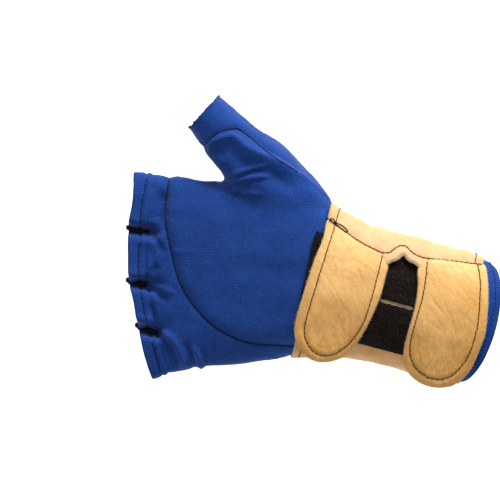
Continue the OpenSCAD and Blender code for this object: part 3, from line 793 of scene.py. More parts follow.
# Folds: [height, width, points], a valley where the height is below zero
FOLDS = [
    [1.9, 1.1, [[-41.5, 33.0], [-31, 36.2], [-20.2, 38.4]]],
    [-1.5, 1.1, [[-41.5, 31.0], [-31, 34.3], [-22.2, 36.9]]],
    [1.9, 1.0, [[-41.5, 29.8], [-31.7, 31.9], [-18.4, 32.7]]],
    [-1.2, 1.1, [[-41.5, 28.2], [-33, 29.8], [-24.2, 31.2]]],
    [1.0, 1.3, [[-41.5, 27.0], [-31.7, 24.9], [-22.2, 23.2]]],
    [-1.1, 1.3, [[-43, 27.2], [-35.7, 23.4], [-31.0, 22.3]]],
    [-2.8, 2.9, [[-74.5, 27.0], [-77.0, 15], [-80.5, 6.0]]],
    [0.9, 1.6, [[-78.5, 27.5], [-81.2, 17], [-84.4, 9.5]]],
    [-1.2, 1.7, [[-81.0, 3.0], [-76.5, -2.0], [-74.5, -8.0]]],
    [1.3, 1.5, [[-82.7, -20.6], [-75, -23.6], [-66.7, -27.2]]],
    [-1.6, 1.7, [[-83.5, -22.9], [-77, -26.4], [-71.2, -30.3]]],
    [-1.5, 1.6, [[-84.0, -18.6], [-80.5, -15.5], [-76.7, -11.0]]],
    [1.0, 1.4, [[-83.5, -17.0], [-82, -12], [-81.5, -6.0]]],
    [-1.3, 1.9, [[-82.0, -30.0], [-80.5, -36.5], [-78.2, -42.8]]],
    [1.7, 1.6, [[-77.5, -43.8], [-72.6, -46.7], [-68.7, -50.8], [-64.4, -60.5], [-63.5, -66]]],
    [-1.8, 1.7, [[-76.0, -47.5], [-71.0, -54.6], [-67.5, -63.5]]],
    [-1.8, 1.5, [[-65.0, -49.5], [-61.8, -54.8], [-59.6, -60.0], [-58.6, -66]]],
    [1.7, 1.5, [[-60.6, -51.5], [-57.5, -57], [-55.7, -61.5], [-55.2, -66]]],
    [-1.0, 1.3, [[-56.5, -52.0], [-54.0, -57], [-52.5, -63]]],
    [-1.0, 1.4, [[-50.2, -49.8], [-49.4, -54.5], [-48.7, -62.3]]],
    [0.45, 1.2, [[-72.5, -4.8], [-66, -5.2], [-57.0, -5.0]]],
]
HEM_SEAM_RIDGE = 1.9
TACK_PLACES = [[[-92.0, 6.0], [-80.0, 4.0]], [[-92.2, -20.3], [-83.2, -21.6]],
               [[-87.6, -42.9], [-77.5, -46.1]]]
STITCH_GROOVE = 0.7


def over_line(points, line):
    """(distance, share of the length) from a line over the palm; distance is + on its left."""
    dist, side, share = beside(points[:, :2], line)
    return dist * side, share


def past_hem(co):
    """Distance towards the hand from the edge of the finger openings."""
    return over_line(co, HEM)[0]


def past_pad_seam(co):
    return over_line(co, PAD_SEAM)[0]


def past_thumb_seam(co):
    return over_line(co, THUMB_SEAM)[0]


def at_fingers(co):
    return co[:, 0] < -60


def fold_height(co):
    """How far the folds and seams lift the fabric on the palm side."""
    total = np.zeros(len(co))
    for height, width, points in FOLDS:
        line = smooth_line(points)
        box_low, box_high = line.min(0) - 3 * width, line.max(0) + 3 * width
        near = np.all((co[:, :2] > box_low) & (co[:, :2] < box_high), axis=1)
        dist, _, share = beside(co[near][:, :2], line)
        fade = ease(share / 0.25) * ease((1 - share) / 0.3)
        total[near] += height * bump(dist, width) * fade
    return total


def pad_height(co):
    """How far the pads lift the fabric inside their seams, with the groove of the stitching."""
    inside = np.minimum(past_pad_seam(co), -past_thumb_seam(co))
    # near the wrist the thumb's seam ends and only its ridge goes on
    sewn = 1 - ease((co[:, 0] + 10) / 6) * (co[:, 1] > 5)
    return (1.15 * ease(inside / 5.0) - 0.75 * bump(inside, 1.0) * sewn
            + 0.7 * bump(inside - 0.6, 1.0) * (1 - sewn))


def hem_height(co):
    """The folded hem: a step, the groove of its seam, and the ridge that it pushes up."""
    d, _ = over_line(co, HEM_SEAM)
    shape = (0.45 * ease((0.6 - d) / 1.2) - 0.45 * bump(d, STITCH_GROOVE)
             + 0.5 * bump(d - HEM_SEAM_RIDGE, 0.8) - 0.35 * bump(d - 3.6, 0.9))
    return np.where(at_fingers(co), shape, 0)


def thumb_facet(co):
    """The ridge down the thumb, with the hollow between it and the crotch."""
    ridge, share = over_line(co, THUMB_RIDGE)
    shape = 1.7 * bump(ridge, 1.7) - 2.7 * bump(ridge + 6.2, 4.5)
    return shape * ease(share / 0.08) * ease((1 - share) / 0.35)


# Size of the faces that the liner is remeshed to
VOXEL = 0.85


def knit_skin():
    """The whole liner as one even surface, before it is cut into its pieces."""
    lengths = np.arange(-106, 108, 1.6)
    angles = np.linspace(0, 360, 200, endpoint=False)
    body = skin_round(lengths[:, None], angles[None, :], 0)
    rings = np.concatenate([np.linspace(0, 1, 9)[:-1], np.linspace(1, 5, 26)])
    around = np.linspace(0, 360, 72, endpoint=False)
    thumb = thumb_point(rings[:, None], around[None, :], 0)
    root = mix(thumb[0], thumb[0].mean(0), 0.35) + np.array([6.0, -16.0, 0])
    tip = thumb[-1] + (thumb[-1].mean(0) - thumb[-2].mean(0)) * 40
    thumb = np.concatenate([root[None], thumb, tip[None]])
    shapes = []
    for grid in (body, thumb):
        rows, cols = grid.shape[:2]
        points = np.vstack([grid.reshape(-1, 3), grid[0].mean(0)[None], grid[-1].mean(0)[None]])
        last, end = (rows - 1) * cols, rows * cols
        caps = [[end, (j + 1) % cols, j] for j in range(cols)]
        caps += [[end + 1, last + j, last + (j + 1) % cols] for j in range(cols)]
        shapes.append((points, grid_faces(rows, cols, True).tolist() + caps))
    return remeshed(make_mesh("liner", *as_one(shapes)), VOXEL)


def middle_height(co):
    """Height of the line on which palm and back meet."""
    body = np.interp(co[:, 0] + CENTRE[0], SPINE[:, 1], SPINE[:, 5] + SPINE[:, 6]) - CENTRE[2]
    return mix(body, THUMB[-1][5] - CENTRE[2], ease((co[:, 1] - 33) / 8) * (co[:, 0] < -12))


def above_middle(co):
    return co[:, 2] - middle_height(co)


def shape_liner(mesh):
    """Smooths the remeshed skin and gives it the pads, hems, seams and folds."""
    relax(mesh, np.full(len(mesh.vertices), 0.5), 4)
    co = places(mesh)
    ring = hole_point(np.arange(0, 360, 6), 0)
    near = np.min([np.linalg.norm(co - p, axis=1) for p in ring], axis=0)
    relax(mesh, 0.6 * ease(1 - near / 11), 36)
    co, nor = places(mesh), normals(mesh)
    palm = ease((nor[:, 2] + 0.45) / 0.7)
    lift = (pad_height(co) + fold_height(co)) * palm + hem_height(co)
    lift += thumb_facet(co) * palm
    # the fabric stands off the ball of the thumb, on its outer side
    outward = ease((nor[:, :2] @ [0.60, 0.80] + 0.1) / 0.7)
    lift += 2.5 * bump(np.hypot(co[:, 0] + 17, co[:, 1] - 46), 15) * outward
    rim, share = over_line(co, INDEX_RIM)
    lift += 0.4 * bump(rim, 0.8) * ease(share / 0.2) * ease((1 - share) / 0.2) * palm
    for place in TACK_PLACES:
        away = beside(co[:, :2], np.array(place))[0]
        lift += (1.2 * bump(away - 4.8, 1.8) - 1.3 * bump(away, 2.3)) * (0.35 + 0.65 * palm)
    lift += 0.22 * waves(co, 16, 3) + 0.07 * waves(co, 5, 4)
    set_places(mesh, co + nor * lift[:, None])
    relax(mesh, np.full(len(co), 0.25), 1)


MOUTH_MID = (THUMB[-1][1:3] + THUMB[-1][3:5]) / 2 - CENTRE[:2]
MOUTH_WAY = np.array([THUMB[-1][4] - THUMB[-1][2], THUMB[-1][1] - THUMB[-1][3]]) / THUMB_W


def past_mouth(co):
    """Distance towards the hand from the raw-cut end of the thumb, a little ragged."""
    return (co[:, :2] - MOUTH_MID) @ MOUTH_WAY + 0.22 * waves(co, 2.2, 5) + 0.25 * waves(co, 7, 6)


def before_cuff(co):
    """Distance along the wrist that is left to the cuff's edge."""
    uv = wrist_uv(co)
    f = np.clip(wrist_f(uv[:, 0], uv[:, 1], 0), -1, 1)
    return cuff_edge(f, above_middle(co)) - uv[:, 0] - WRIST_ZERO


def at_thumb(co):
    return (co[:, 1] > 46) & (co[:, 0] < -30)


def at_wrist(co):
    return wrist_uv(co)[:, 0] > 25


def at_pad_seam(co):
    return (above_middle(co) > -0.5) & (co[:, 1] < 42)


def at_thumb_seam(co):
    return (above_middle(co) > -0.5) & (co[:, 1] > 10)


def liner_surface():
    """The shaped liner, cut at its openings and along its seams."""
    skin_object = knit_skin()
    shape_liner(skin_object.data)
    return cut_surface(skin_object, (
        (past_hem, at_fingers, True), (past_mouth, at_thumb, True), (before_cuff, at_wrist, True),
        (above_middle, None, False), (past_pad_seam, at_pad_seam, False),
        (past_thumb_seam, at_thumb_seam, False)))


def fabric_thickness(co):
    """One layer, and two in the folded hem at the fingers, apart from where a tack gathers it."""
    f = (co[:, 1] + 17.5) / FINGER_HALF
    folded = ease((6 - past_hem(co)) / 1.2) * at_fingers(co)
    return FABRIC_T + 0.7 * folded * (1 - pinch(np.full(len(co), -92.0), f))


LINER = liner_surface()
LINER_TREE = tree_of(LINER)


def sewn_on(co):
    """Where a piece of the liner meets the next one, and so has no rounded rim."""
    hem = (np.abs(past_hem(co)) < 0.7) & at_fingers(co)
    mouth = (np.abs(past_mouth(co)) < 0.7) & (co[:, 1] > 40) & (co[:, 0] < -30)
    cuff = (np.abs(before_cuff(co)) < 0.7) & (co[:, 0] > 30)
    return ~(hem | mouth | cuff)


def make_liner():
    """The four cut pieces of the knit, each a sheet stretched over the hand's shape."""
    co = middles_of(LINER[0], LINER[2])
    palm = above_middle(co) > 0
    thumb = palm & (past_thumb_seam(co) > 0) & ((co[:, 1] > 40) | (co[:, 0] > -45))
    front = palm & (past_pad_seam(co) < 0) & ~thumb
    for name, where, node, flat, area in (
        ("pad_cover_knit", palm & ~thumb & ~front, ["palm_panel"], (0.125, 0.150), 0.0141),
        ("finger_side_knit", front, [], (0.065, 0.110), 0.0039),
        ("thumb_back_knit", thumb, ["thumb_panel"], (0.025, 0.062), 0.0010),
        ("back_knit", ~palm, ["back_panel"], (0.140, 0.165), 0.0175),
    ):
        piece = thicken(name, part_of(LINER, where), fabric_thickness, 0.45, sewn_on)
        # Material 1, on the inside and the rims, is the darker copy of the knit: painted shade
        finish_piece(piece, [KNIT, KNIT_INSIDE_SHADED], "glove", node)


# ---- sewing ----

def spaced(path, step):
    """Points along a path at even steps, with the path's directions there."""
    length = np.concatenate([[0], np.cumsum(np.linalg.norm(np.diff(path, axis=0), axis=1))])
    places_at = np.arange(step / 2, length[-1], step)

    def point_at(at):
        return np.stack([np.interp(at, length, path[:, k]) for k in range(3)], axis=1)

    return point_at(places_at), unit(point_at(places_at + 0.3) - point_at(places_at - 0.3))


# Rings of points in each stitch's bead, and points in each ring
STITCH_RINGS, STITCH_SIDES = 7, 8


def sew(name, node, lines, step, length, width, tilt, sink=0.1, body="glove"):
    """Stitches along lines of (path, up directions): one small twisted bead of thread each."""
    around = np.linspace(0, 2 * math.pi, STITCH_SIDES, endpoint=False)
    run = np.cos(np.linspace(0, math.pi, STITCH_RINGS))
    radius = np.clip(1 - np.abs(run) ** 3.0, 0.04, 1) ** 0.5
    faces = tube_faces(STITCH_RINGS, STITCH_SIDES)
    beads = []
    for path, ups in lines:
        spots, ways = spaced(path, step)
        nearest = np.linalg.norm(path[None] - spots[:, None], axis=2).argmin(1)
        for spot, way, up in zip(spots, ways, ups[nearest]):
            up = unit(up - way * (up @ way))
            side = np.cross(up, way)
            lean = tilt + draw.normal(0, 0.05)
            c, s = math.cos(lean), math.sin(lean)
            way, side = way * c + side * s, side * c - way * s
            size = length * draw.uniform(0.92, 1.05) / 2
            middle = spot + up * (width * 0.5 - sink) + side * draw.normal(0, 0.04)
            bead = (middle + (run * size)[:, None, None] * way
                    + (radius[:, None] * np.cos(around))[..., None] * side * width / 2
                    + (radius[:, None] * np.sin(around))[..., None] * up * width * 0.42
                    - (np.abs(run) ** 4)[:, None, None] * up * width * 0.35)
            beads.append((bead.reshape(-1, 3), faces))
    finish_piece(make_mesh(name, *as_one(beads)), [THREAD], body, [node])


def lay_threads(name, replaced, paths, radius, sides=6):
    """Round threads along paths, as one piece."""
    around = np.linspace(0, 2 * math.pi, sides, endpoint=False)[None, :, None]
    threads = []
    for path in paths:
        way = unit(np.gradient(path, axis=0))
        side = unit(np.cross(way, [0.31, 0.17, 0.93]))
        up = np.cross(side, way)
        ring = np.cos(around) * side[:, None] + np.sin(around) * up[:, None]
        points = (path[:, None] + ring * radius).reshape(-1, 3)
        threads.append((points, tube_faces(len(path), sides)))
    finish_piece(make_mesh(name, *as_one(threads)), [THREAD], "glove", replaced)


def fibres(name, material, body, roots, ways, length, width, seed, spread=0.55):
    """Short bent fibres that stand out of a cut edge or a pile, as three-sided blades."""
    pick = np.random.default_rng(seed)
    count = len(roots)
    way = unit(ways + pick.normal(0, spread, (count, 3)))
    size = length * pick.uniform(0.35, 1.0, (count, 1))
    bend = pick.normal(0, 0.45, (count, 3)) * size
    side = unit(np.cross(way, pick.normal(size=(count, 3))))
    up = np.cross(side, way)
    rings = [roots + way * size * share + bend * share**2
             + (math.cos(a) * side + math.sin(a) * up) * width / 2 * thick
             for share, thick in ((0, 1.0), (0.55, 0.75)) for a in (0, 2.094, 4.189)]
    points = np.stack(rings + [roots + way * size + bend], axis=1).reshape(-1, 3)
    blade = [[2, 1, 0], [0, 1, 4, 3], [1, 2, 5, 4], [2, 0, 3, 5], [3, 4, 6], [4, 5, 6], [5, 3, 6]]
    faces = [[a + 7 * k for a in f] for k in range(count) for f in blade]
    finish_piece(make_mesh(name, points, faces), [material], body)


def laid(tree, flat, side=1):
    """A line laid on a surface from above the palm, or with side -1 from under the back: its path
    and up directions."""
    path, ups = [], []
    for x, y in flat:
        hit, up, _, _ = tree.ray_cast(Vector((x, y, 90 if side > 0 else -30)), Vector((0, 0, -side)))
        if hit is not None:
            path.append(hit[:])
            ups.append(up[:] if up.z * side > 0 else (-up)[:])
    return np.array(path), np.array(ups)


def nearest_on(tree, points):
    """(place, normal, number, distance) of a surface's nearest point, for each of the points."""
    return [tree.find_nearest(Vector(p)) for p in points]


def make_liner_seams():
    """The seams of the two pads, and the seam of the finger hem on the palm and the back."""
    pad = PAD_SEAM[(PAD_SEAM[:, 1] < 33.5) & (PAD_SEAM[:, 0] < 0)]
    thumb = THUMB_SEAM[(THUMB_SEAM[:, 0] > -55.5) & (THUMB_SEAM[:, 0] < -6)]
    hem = HEM_SEAM[(HEM_SEAM[:, 1] >= -66.5) & (HEM_SEAM[:, 1] <= 35.0)]
    sew("palm_pad_seam", "palm_pad_stitching", [laid(LINER_TREE, pad)], 2.5, 2.6, 0.60, 0.09, 0.08)
    sew("thumb_pad_seam", "thumb_pad_stitching", [laid(LINER_TREE, thumb)], 1.9, 2.0, 0.60, 0.08, 0.10)
    sew("finger_hem_seam", "finger_hem_stitching", [laid(LINER_TREE, hem), laid(LINER_TREE, hem, -1)],
        2.6, 2.5, 0.56, 0.07)


TACK_TURNS, KNOT_TURNS = 11, 7


def make_tacks():
    """Three bar tacks: dense thread over the gathered edge, with a knot that stands past it."""
    turn = np.linspace(0, TACK_TURNS * 2 * math.pi, 150)
    share = turn / turn[-1]
    wide = mix(1.35, 0.9, share) + 0.12 * np.sin(turn * 0.37)
    ripple = 0.20 + 0.2 * np.sin(turn * 2)
    knot_turn = np.linspace(0, KNOT_TURNS * 2 * math.pi, 120)
    reach = np.linspace(-0.6, 1.0, 120)
    swell = np.sqrt(np.clip(1.05 - (reach / 1.1) ** 2, 0.05, 1))
    paths = []
    for (x0, y0), (x1, y1) in TACK_PLACES:
        x, y = mix(x1, x0, share), mix(y1, y0, share) + wide * np.cos(turn)
        palm, back = (laid(LINER_TREE, np.stack([x, y], axis=1), side)[0][:, 2] for side in (1, -1))
        if not len(palm) == len(back) == len(x):
            palm, back = np.full(len(x), palm.mean()), np.full(len(x), back.mean())
        top, low = (np.stack([x, y, z], axis=1) for z in (palm + ripple, back - ripple))
        height = (top[-1, 2] - low[-1, 2]) / 2 + 0.4
        knot = np.stack([-reach, np.cos(knot_turn) * swell, height * np.sin(knot_turn) * swell], axis=1)
        paths += [top, low, (top[-1] + low[-1]) / 2 + knot]
    lay_threads("finger_tacks", ["finger_bartacks"], paths, 0.42)


def make_cuff_seam():
    """The hem seam round the cuff, on the palm and the back."""
    c = np.cos(np.radians(np.arange(6, 175, 2.0)))
    f = np.sign(c) * np.abs(c) ** 0.89
    lines = [laid(LINER_TREE, skin(cuff_edge(f, side) - 2.6, f, side, 0)[:, :2], side) for side in (1, -1)]
    sew("cuff_hem_seam", "cuff_hem_stitching", lines, 2.7, 2.1, 0.40, 0.06)


def make_inner_seams():
    """The seams inside the liner: along the little finger's side and round the thumb's root."""
    side = skin_round(np.arange(-80, 73, 2.0), 180.0, -FABRIC_T - 0.45)
    ups = np.tile([0.0, 1.0, 0.0], (len(side), 1))
    sew("side_seam", "side_seam_stitching", [(side, ups)], 2.6, 2.2, 0.6, 0.06)
    near = nearest_on(LINER_TREE, hole_point(np.arange(-12, -169, -3.0), 0.35))
    path, ups = (np.array([hit[k][:] for hit in near]) for k in (0, 1))
    sew("thumb_root_seam", "thumb_seam_stitching", [(path, ups)], 2.4, 2.1, 0.6, 0.06)


def make_mouth_fibres(count=620):
    """The thumb's raw-cut end frays a little."""
    co = LINER[0]
    edge = co[np.abs(past_mouth(co)) < 0.35]
    edge = edge[(edge[:, 1] > 40) & (edge[:, 0] < -30)]
    pick = np.random.default_rng(81)
    roots = edge[pick.integers(0, len(edge), count)] + pick.normal(0, 0.2, (count, 3))
    ways = np.array([*-MOUTH_WAY, 0.15]) + np.zeros((count, 3))
    fibres("thumb_end_fray", KNIT, "glove", roots, ways, 0.9, 0.14, 82)


# ---- leather wrap, in the wrist's own frame ----

# The seam between the straps and the rest of the wrap, and the notch between the straps
STRAP_SEAM = [[-42.1, 28.2], [-38, 26.5], [-30, 23.2], [-22, 20.6], [-12.2, 18.9]]
NOTCH = [[-7.7, 13.6], [-7.4, 14.8], [-6.6, 16.1], [-4.7, 17.2], [-3.2, 18.6], [-2.3, 20.2], [-1.4, 21.1],
         [-0.2, 20.5], [1.1, 19.4], [2.9, 18.6], [5.3, 18.3], [6.9, 17.6], [7.6, 16.2]]
REAR_SEAM = [[10.2, 21.9], [17, 22.9], [24, 24.0], [31, 24.9], [35.5, 25.5], [39.0, 26.2]]
YOKE_SEAM = smooth_line(
    STRAP_SEAM[:4] + [[-13, 18.9], [-10.4, 19.2], [-8.3, 19.9], [-6.9, 21.6], [-5.4, 23.5], [-3.2, 24.7],
                      [-0.7, 24.6], [1.7, 23.4], [3.9, 22.4], [7.6, 21.8], [11.1, 21.9]]
    + REAR_SEAM[1:4] + REAR_SEAM[-1:], step=1.0)
FRONT_TIP = [[-42.0, 18.5], [-42.9, 10.5], [-43.6, 5], [-44.4, -12.4], [-44.5, -26.9], [-41.6, -35.2],
             [-36.6, -40.0], [-29.6, -41.9], [-23.0, -40.2], [-17.2, -36.2], [-13.4, -30.0],
             [-10.3, -20.3], [-8.3, -10], [-7.3, 0], [-7.5, 8]]
REAR_TIP = [[9.7, 8.3], [11.1, -3.0], [11.1, -18.8], [12.0, -28.5], [15.6, -34.8], [21.5, -38.3],
            [28.1, -39.4], [34.6, -38.2], [40.6, -34.6], [45.4, -26.5], [47.3, -14.5], [47.7, -6.2],
            [46.3, 3.5], [44.2, 13.0], [42.2, 19.6]]
FRONT_OUTLINE = smooth_line(FRONT_TIP + [NOTCH[0]] + STRAP_SEAM[::-1], closed=True, step=1.2)
REAR_OUTLINE = smooth_line([NOTCH[-1]] + REAR_TIP + REAR_SEAM[::-1], closed=True, step=1.2)
FRONT_STITCH = smooth_line([[-38.0, 26.4], [-38.9, 8], [-39.6, -12], [-39.7, -26.1], [-37.2, -33.3],
                            [-31.8, -37.7], [-25.5, -37.9], [-20, -34.4], [-15.3, -27.5], [-12.1, -18.0],
                            [-11.2, -6], [-11.2, 6], [-11.4, 18.9]], step=1.2)
REAR_STITCH = smooth_line([[10.9, 21.6], [12.4, 11.5], [13.3, 0.7], [13.1, -17.5], [14.2, -25.3],
                           [17.3, -30.6], [22.1, -34.1], [28.5, -35.4], [34.2, -33.9], [38.4, -30.2],
                           [41.6, -24.0], [43.4, -16.4], [43.6, -7.3], [42.8, 0.5], [40.9, 10.1],
                           [38.7, 18.5], [35.8, 25.0]], step=1.2)
# Where the straps leave the wrist's curve, and the gaps between the seam and the notch
LEAVE_V = -17.0
NOTCH_ENDS = np.array([STRAP_SEAM[-1], NOTCH[0]]), np.array([NOTCH[-1], REAR_SEAM[0]])


def at_notch_ends(uv, reach):
    """Where points lie within reach of a gap between the straps' seam and the notch."""
    return (beside(uv, NOTCH_ENDS[0])[0] < reach) | (beside(uv, NOTCH_ENDS[1])[0] < reach)


def at_straps(co):
    """Where the straps go on into the rest of the wrap without an edge."""
    uv = wrist_uv(co)
    sewn = (beside(uv, YOKE_SEAM)[0] < 0.8) & ((uv[:, 0] < -11.5) | (uv[:, 0] > 9.8))
    return (sewn | at_notch_ends(uv, 0.5)) & (co[:, 2] > 25)


def strap_height(uv, off):
    """Height of a layer that lies on the wrist and leaves it along a straight line past LEAVE_V."""
    u, v = uv[:, 0], uv[:, 1]
    slope = wrist_height(u, LEAVE_V + 1, off) - wrist_height(u, LEAVE_V, off)
    return wrist_height(u, np.maximum(v, LEAVE_V), off) + slope * np.minimum(v - LEAVE_V, 0)


def draped(outline, height, spacing=0.5):
    """The surface inside a closed outline over u and v, laid over the wrist at height(uv)."""
    low, high = outline.min(0) - 1, outline.max(0) + 1
    us, vs = (np.arange(low[k], high[k], spacing) for k in (0, 1))
    u, v = np.meshgrid(us, vs, indexing="ij")
    points = np.stack([u, v, 0 * u], axis=-1).reshape(-1, 3)
    patch = make_mesh("patch", points, grid_faces(len(us), len(vs))[:, ::-1])

    def inside(co):
        return within(co[:, :2], outline)

    co, _, faces = cut_surface(patch, [(inside, None, True)])
    return surface_from(wrist_point(co[:, 0], co[:, 1], height(co[:, :2])), faces)


def leather_lift(uv, edge, seams, seed):
    """The lie of a leather strap: a turned-down edge, dented seams, slow waves and creases."""
    lift = -0.45 * bump(edge, 1.0) + 0.30 * ease(edge / 9)
    for line in seams:
        dist, _, _ = beside(uv, line)
        lift -= 0.30 * bump(dist, 0.75)
        lift += 0.10 * bump(dist - 1.7, 0.9)
    lift += 0.26 * waves(uv, 19, seed) * ease(edge / 4)
    calm, high = ease(edge / 3.5), ease((uv[:, 1] + 24) / 20)
    slant = np.stack([uv @ [0.70, 0.71], uv @ [0.71, -0.70] * 0.2], axis=1)
    upright = np.stack([uv @ [0.97, -0.1], uv[:, 1] * 0.3], axis=1)
    lift -= 0.13 * bump(waves(slant, 8.0, seed + 1, 24), 0.30) * calm * high
    return lift + 0.09 * waves(upright, 2.4, seed + 2, 24) * calm * (1 - high)


def edge_fibres(name, material, body, line, top, seed, per_mm, length):
    """Fibres out of the cut edge of leather along a line over u and v, leather on its left."""
    pick = np.random.default_rng(seed)
    ahead = np.roll(line, -1, axis=0) - line
    step = np.linalg.norm(ahead, axis=1)
    step[step > 4] = 0
    at = pick.uniform(0, step.sum(), int(step.sum() * per_mm))
    k = np.searchsorted(np.cumsum(step), at)
    uv = line[k] + ahead[k] * pick.uniform(0, 1, (len(k), 1))
    out = np.stack([ahead[k][:, 1], -ahead[k][:, 0]], axis=1) / (step[k][:, None] + 1e-9)
    uv = uv + out * pick.uniform(-0.3, 0.25, (len(k), 1))
    low = pick.uniform(0.15, LEATHER_T, len(k))
    roots = wrist_point(uv[:, 0], uv[:, 1], strap_height(uv, top) - low)
    ways = np.column_stack([out[:, :1] * FOREARM + out[:, 1:] * THUMBWARD, np.full(len(k), -0.1)])
    fibres(name, material, body, roots, ways, length, 0.14, seed + 1)


def make_strap(name, outline, stitch, node, body, creases, seed):
    """A strap's leather with its stitching and the fuzz of its cut edge."""
    attached = (beside(outline, YOKE_SEAM)[0] < 0.8) | at_notch_ends(outline, 0.4)
    start = np.flatnonzero(attached & ~np.roll(attached, -1))[-1]
    free = np.roll(outline, -start, axis=0)[:len(outline) - attached.sum() + 2]

    def height(uv):
        lift = leather_lift(uv, beside(uv, free)[0], [stitch, YOKE_SEAM], seed)
        for depth, width, points in creases:
            dist, _, share = beside(uv, smooth_line(points))
            lift += depth * bump(dist, width) * ease(share / 0.3) * ease((1 - share) / 0.3)
        return strap_height(uv, STRAP_TOP) + lift

    surface = draped(outline, height)
    strap = thicken(name, surface, LEATHER_T, 0.35, at_straps)
    finish_piece(strap, [LEATHER, SUEDE], body, [node])
    below = stitch[beside(stitch, YOKE_SEAM)[0] > 0.4]
    line = laid(tree_of(surface), wrist_point(below[:, 0], below[:, 1], 0 * below[:, 0])[:, :2])
    sew(name + "_seam", node + "_stitching", [line], 2.5, 2.7, 0.50, 0.10, -0.08, body)
    cut_edge = outline[beside(outline, YOKE_SEAM)[0] > 1.5]
    edge_fibres(name + "_fringe", FUZZ, body, cut_edge, STRAP_TOP, seed, 8.0, 0.85)


# How far before its hinge line a strap's fold starts, and over what length
FOLD_START, FOLD_LENGTH = 0.4, 5


def fold_of(joint_name, child):
    """The glove, the strap, and the two ends of a strap's fold, in metres."""
    joint = next(j for j in frame["joints"] if j["name"] == joint_name)
    place, axis = Vector(joint["pos_m"]), Vector(joint["axis"])
    way = axis.cross(Vector((0, 0, 1))).normalized()
    if way.y > 0:
        way = -way
    place = place - way * FOLD_START * MM
    return "glove", child, place, place + way * FOLD_LENGTH * MM


# The glove, the strap and the ends of each strap's fold, passed as the body of the strap's pieces
FRONT_BODY = fold_of("front_strap_peel", "front_strap")
REAR_BODY = fold_of("rear_strap_peel", "rear_strap")
FRONT_CREASES = [[-0.35, 0.45, [[-19.8, -27.2], [-18.6, -30.5], [-18.0, -33.6]]],
                 [-0.25, 0.5, [[-24.8, -26.5], [-24.0, -29.5]]]]
REAR_CREASES = [[-0.14, 0.5, [[16.5, 4.5], [20.5, 0.5], [27.5, -3.5]]],
                [-0.14, 0.5, [[15.5, -7], [21, -9], [29, -13]]]]


def make_hook(name, outline, node, body):
    """The hook lining under a strap, which shows past its edge."""
    def height(uv):
        return (strap_height(uv, STRAP_LOW - 0.15) - 0.5 * bump(within(uv, outline), 0.8)
                + 0.06 * waves(uv, 1.6, 31))

    hook = thicken(name, draped(outline, height, 0.7), HOOK_T, 0.4)
    finish_piece(hook, [HOOK, HOOK], body, [node])
    edge_fibres(name + "_hairs", HOOK, body, outline[outline[:, 1] < 20], STRAP_LOW + 0.5, 95, 6.0, 0.9)


FRONT_HOOK = [[-46.5, 20.6], [-46.3, 10.5], [-45.8, 0], [-45.3, -12.6], [-44.2, -26], [-41.0, -34.6],
              [-36, -38.6], [-29.5, -40.2], [-21, -36.4], [-14.4, -26], [-10.6, -8], [-9.6, 8]]
FRONT_HOOK_OUTLINE = np.vstack([smooth_line(FRONT_HOOK, step=1.5), [[-10.9, 15.0]]])
REAR_HOOK_OUTLINE = smooth_line([[13, 8], [13, -22], [17, -33], [27.5, -37.6], [37.5, -34.5], [43.5, -24],
                                 [45.5, -8], [42.5, 9]], closed=True, step=1.5)

WRAP_EDGE = np.vstack([YOKE_SEAM[YOKE_SEAM[:, 0] < -12.4], [STRAP_SEAM[-1]], NOTCH, [REAR_SEAM[0]],
                       YOKE_SEAM[YOKE_SEAM[:, 0] > 10.6]])
# The straps' seam begins with a knot and two loose loops of its thread
KNOT_LOOP = [[-38.3, 27.1], [-39.4, 28.6], [-40.8, 28.6], [-41.6, 27.4], [-40.4, 27.0], [-38.3, 26.9]]
LOOSE_LOOP = [[-38.2, 27.2], [-36.5, 27.1], [-34.2, 26.6], [-31.9, 25.4], [-31.2, 24.3], [-32.5, 24.3],
              [-34.7, 25.2], [-37.3, 26.2], [-38.5, 26.8]]
KNOT_WRAP = [[-39.0, 27.6], [-37.7, 27.4], [-38.0, 26.3], [-38.9, 26.6], [-38.5, 27.7], [-37.8, 26.8]]

# The wrap's two edges along the wrist, and how far in from them it is sewn
WRAP_FRONT, WRAP_REAR = -42.0, 37.4
FRONT_MARGIN, REAR_MARGIN = 3.8, 4.0
# Points of the wrap round the wrist, and the way round it
WRAP_COLS = 230
WRIST_ROUND = 200


def wrap_climb(angle):
    """How far the wrap rises off the wrist towards the straps."""
    return (STRAP_LOW - WRAP_GAP) * ease((angle - 6) / 26)


def wrap_bow(u, angle):
    """How far the wrap's two edges bow out along the wrist, by the angle round it."""
    a = np.radians(angle)
    rear = np.where(np.sin(a) > 0, 3.0 * np.sin(a) ** 2, 0.5 * np.abs(np.sin(a)))
    return ease((u - 16) / 26) * rear + ease((-u - 20) / 24) * 0.4 * np.maximum(0, np.cos(a)) ** 4


def wrap_line(u, angle, off):
    """Points round the wrist on the wrap's outside, for one u or many."""
    return skin_round(u + WRIST_ZERO + wrap_bow(u, angle), angle, WRAP_TOP + wrap_climb(angle) + off)


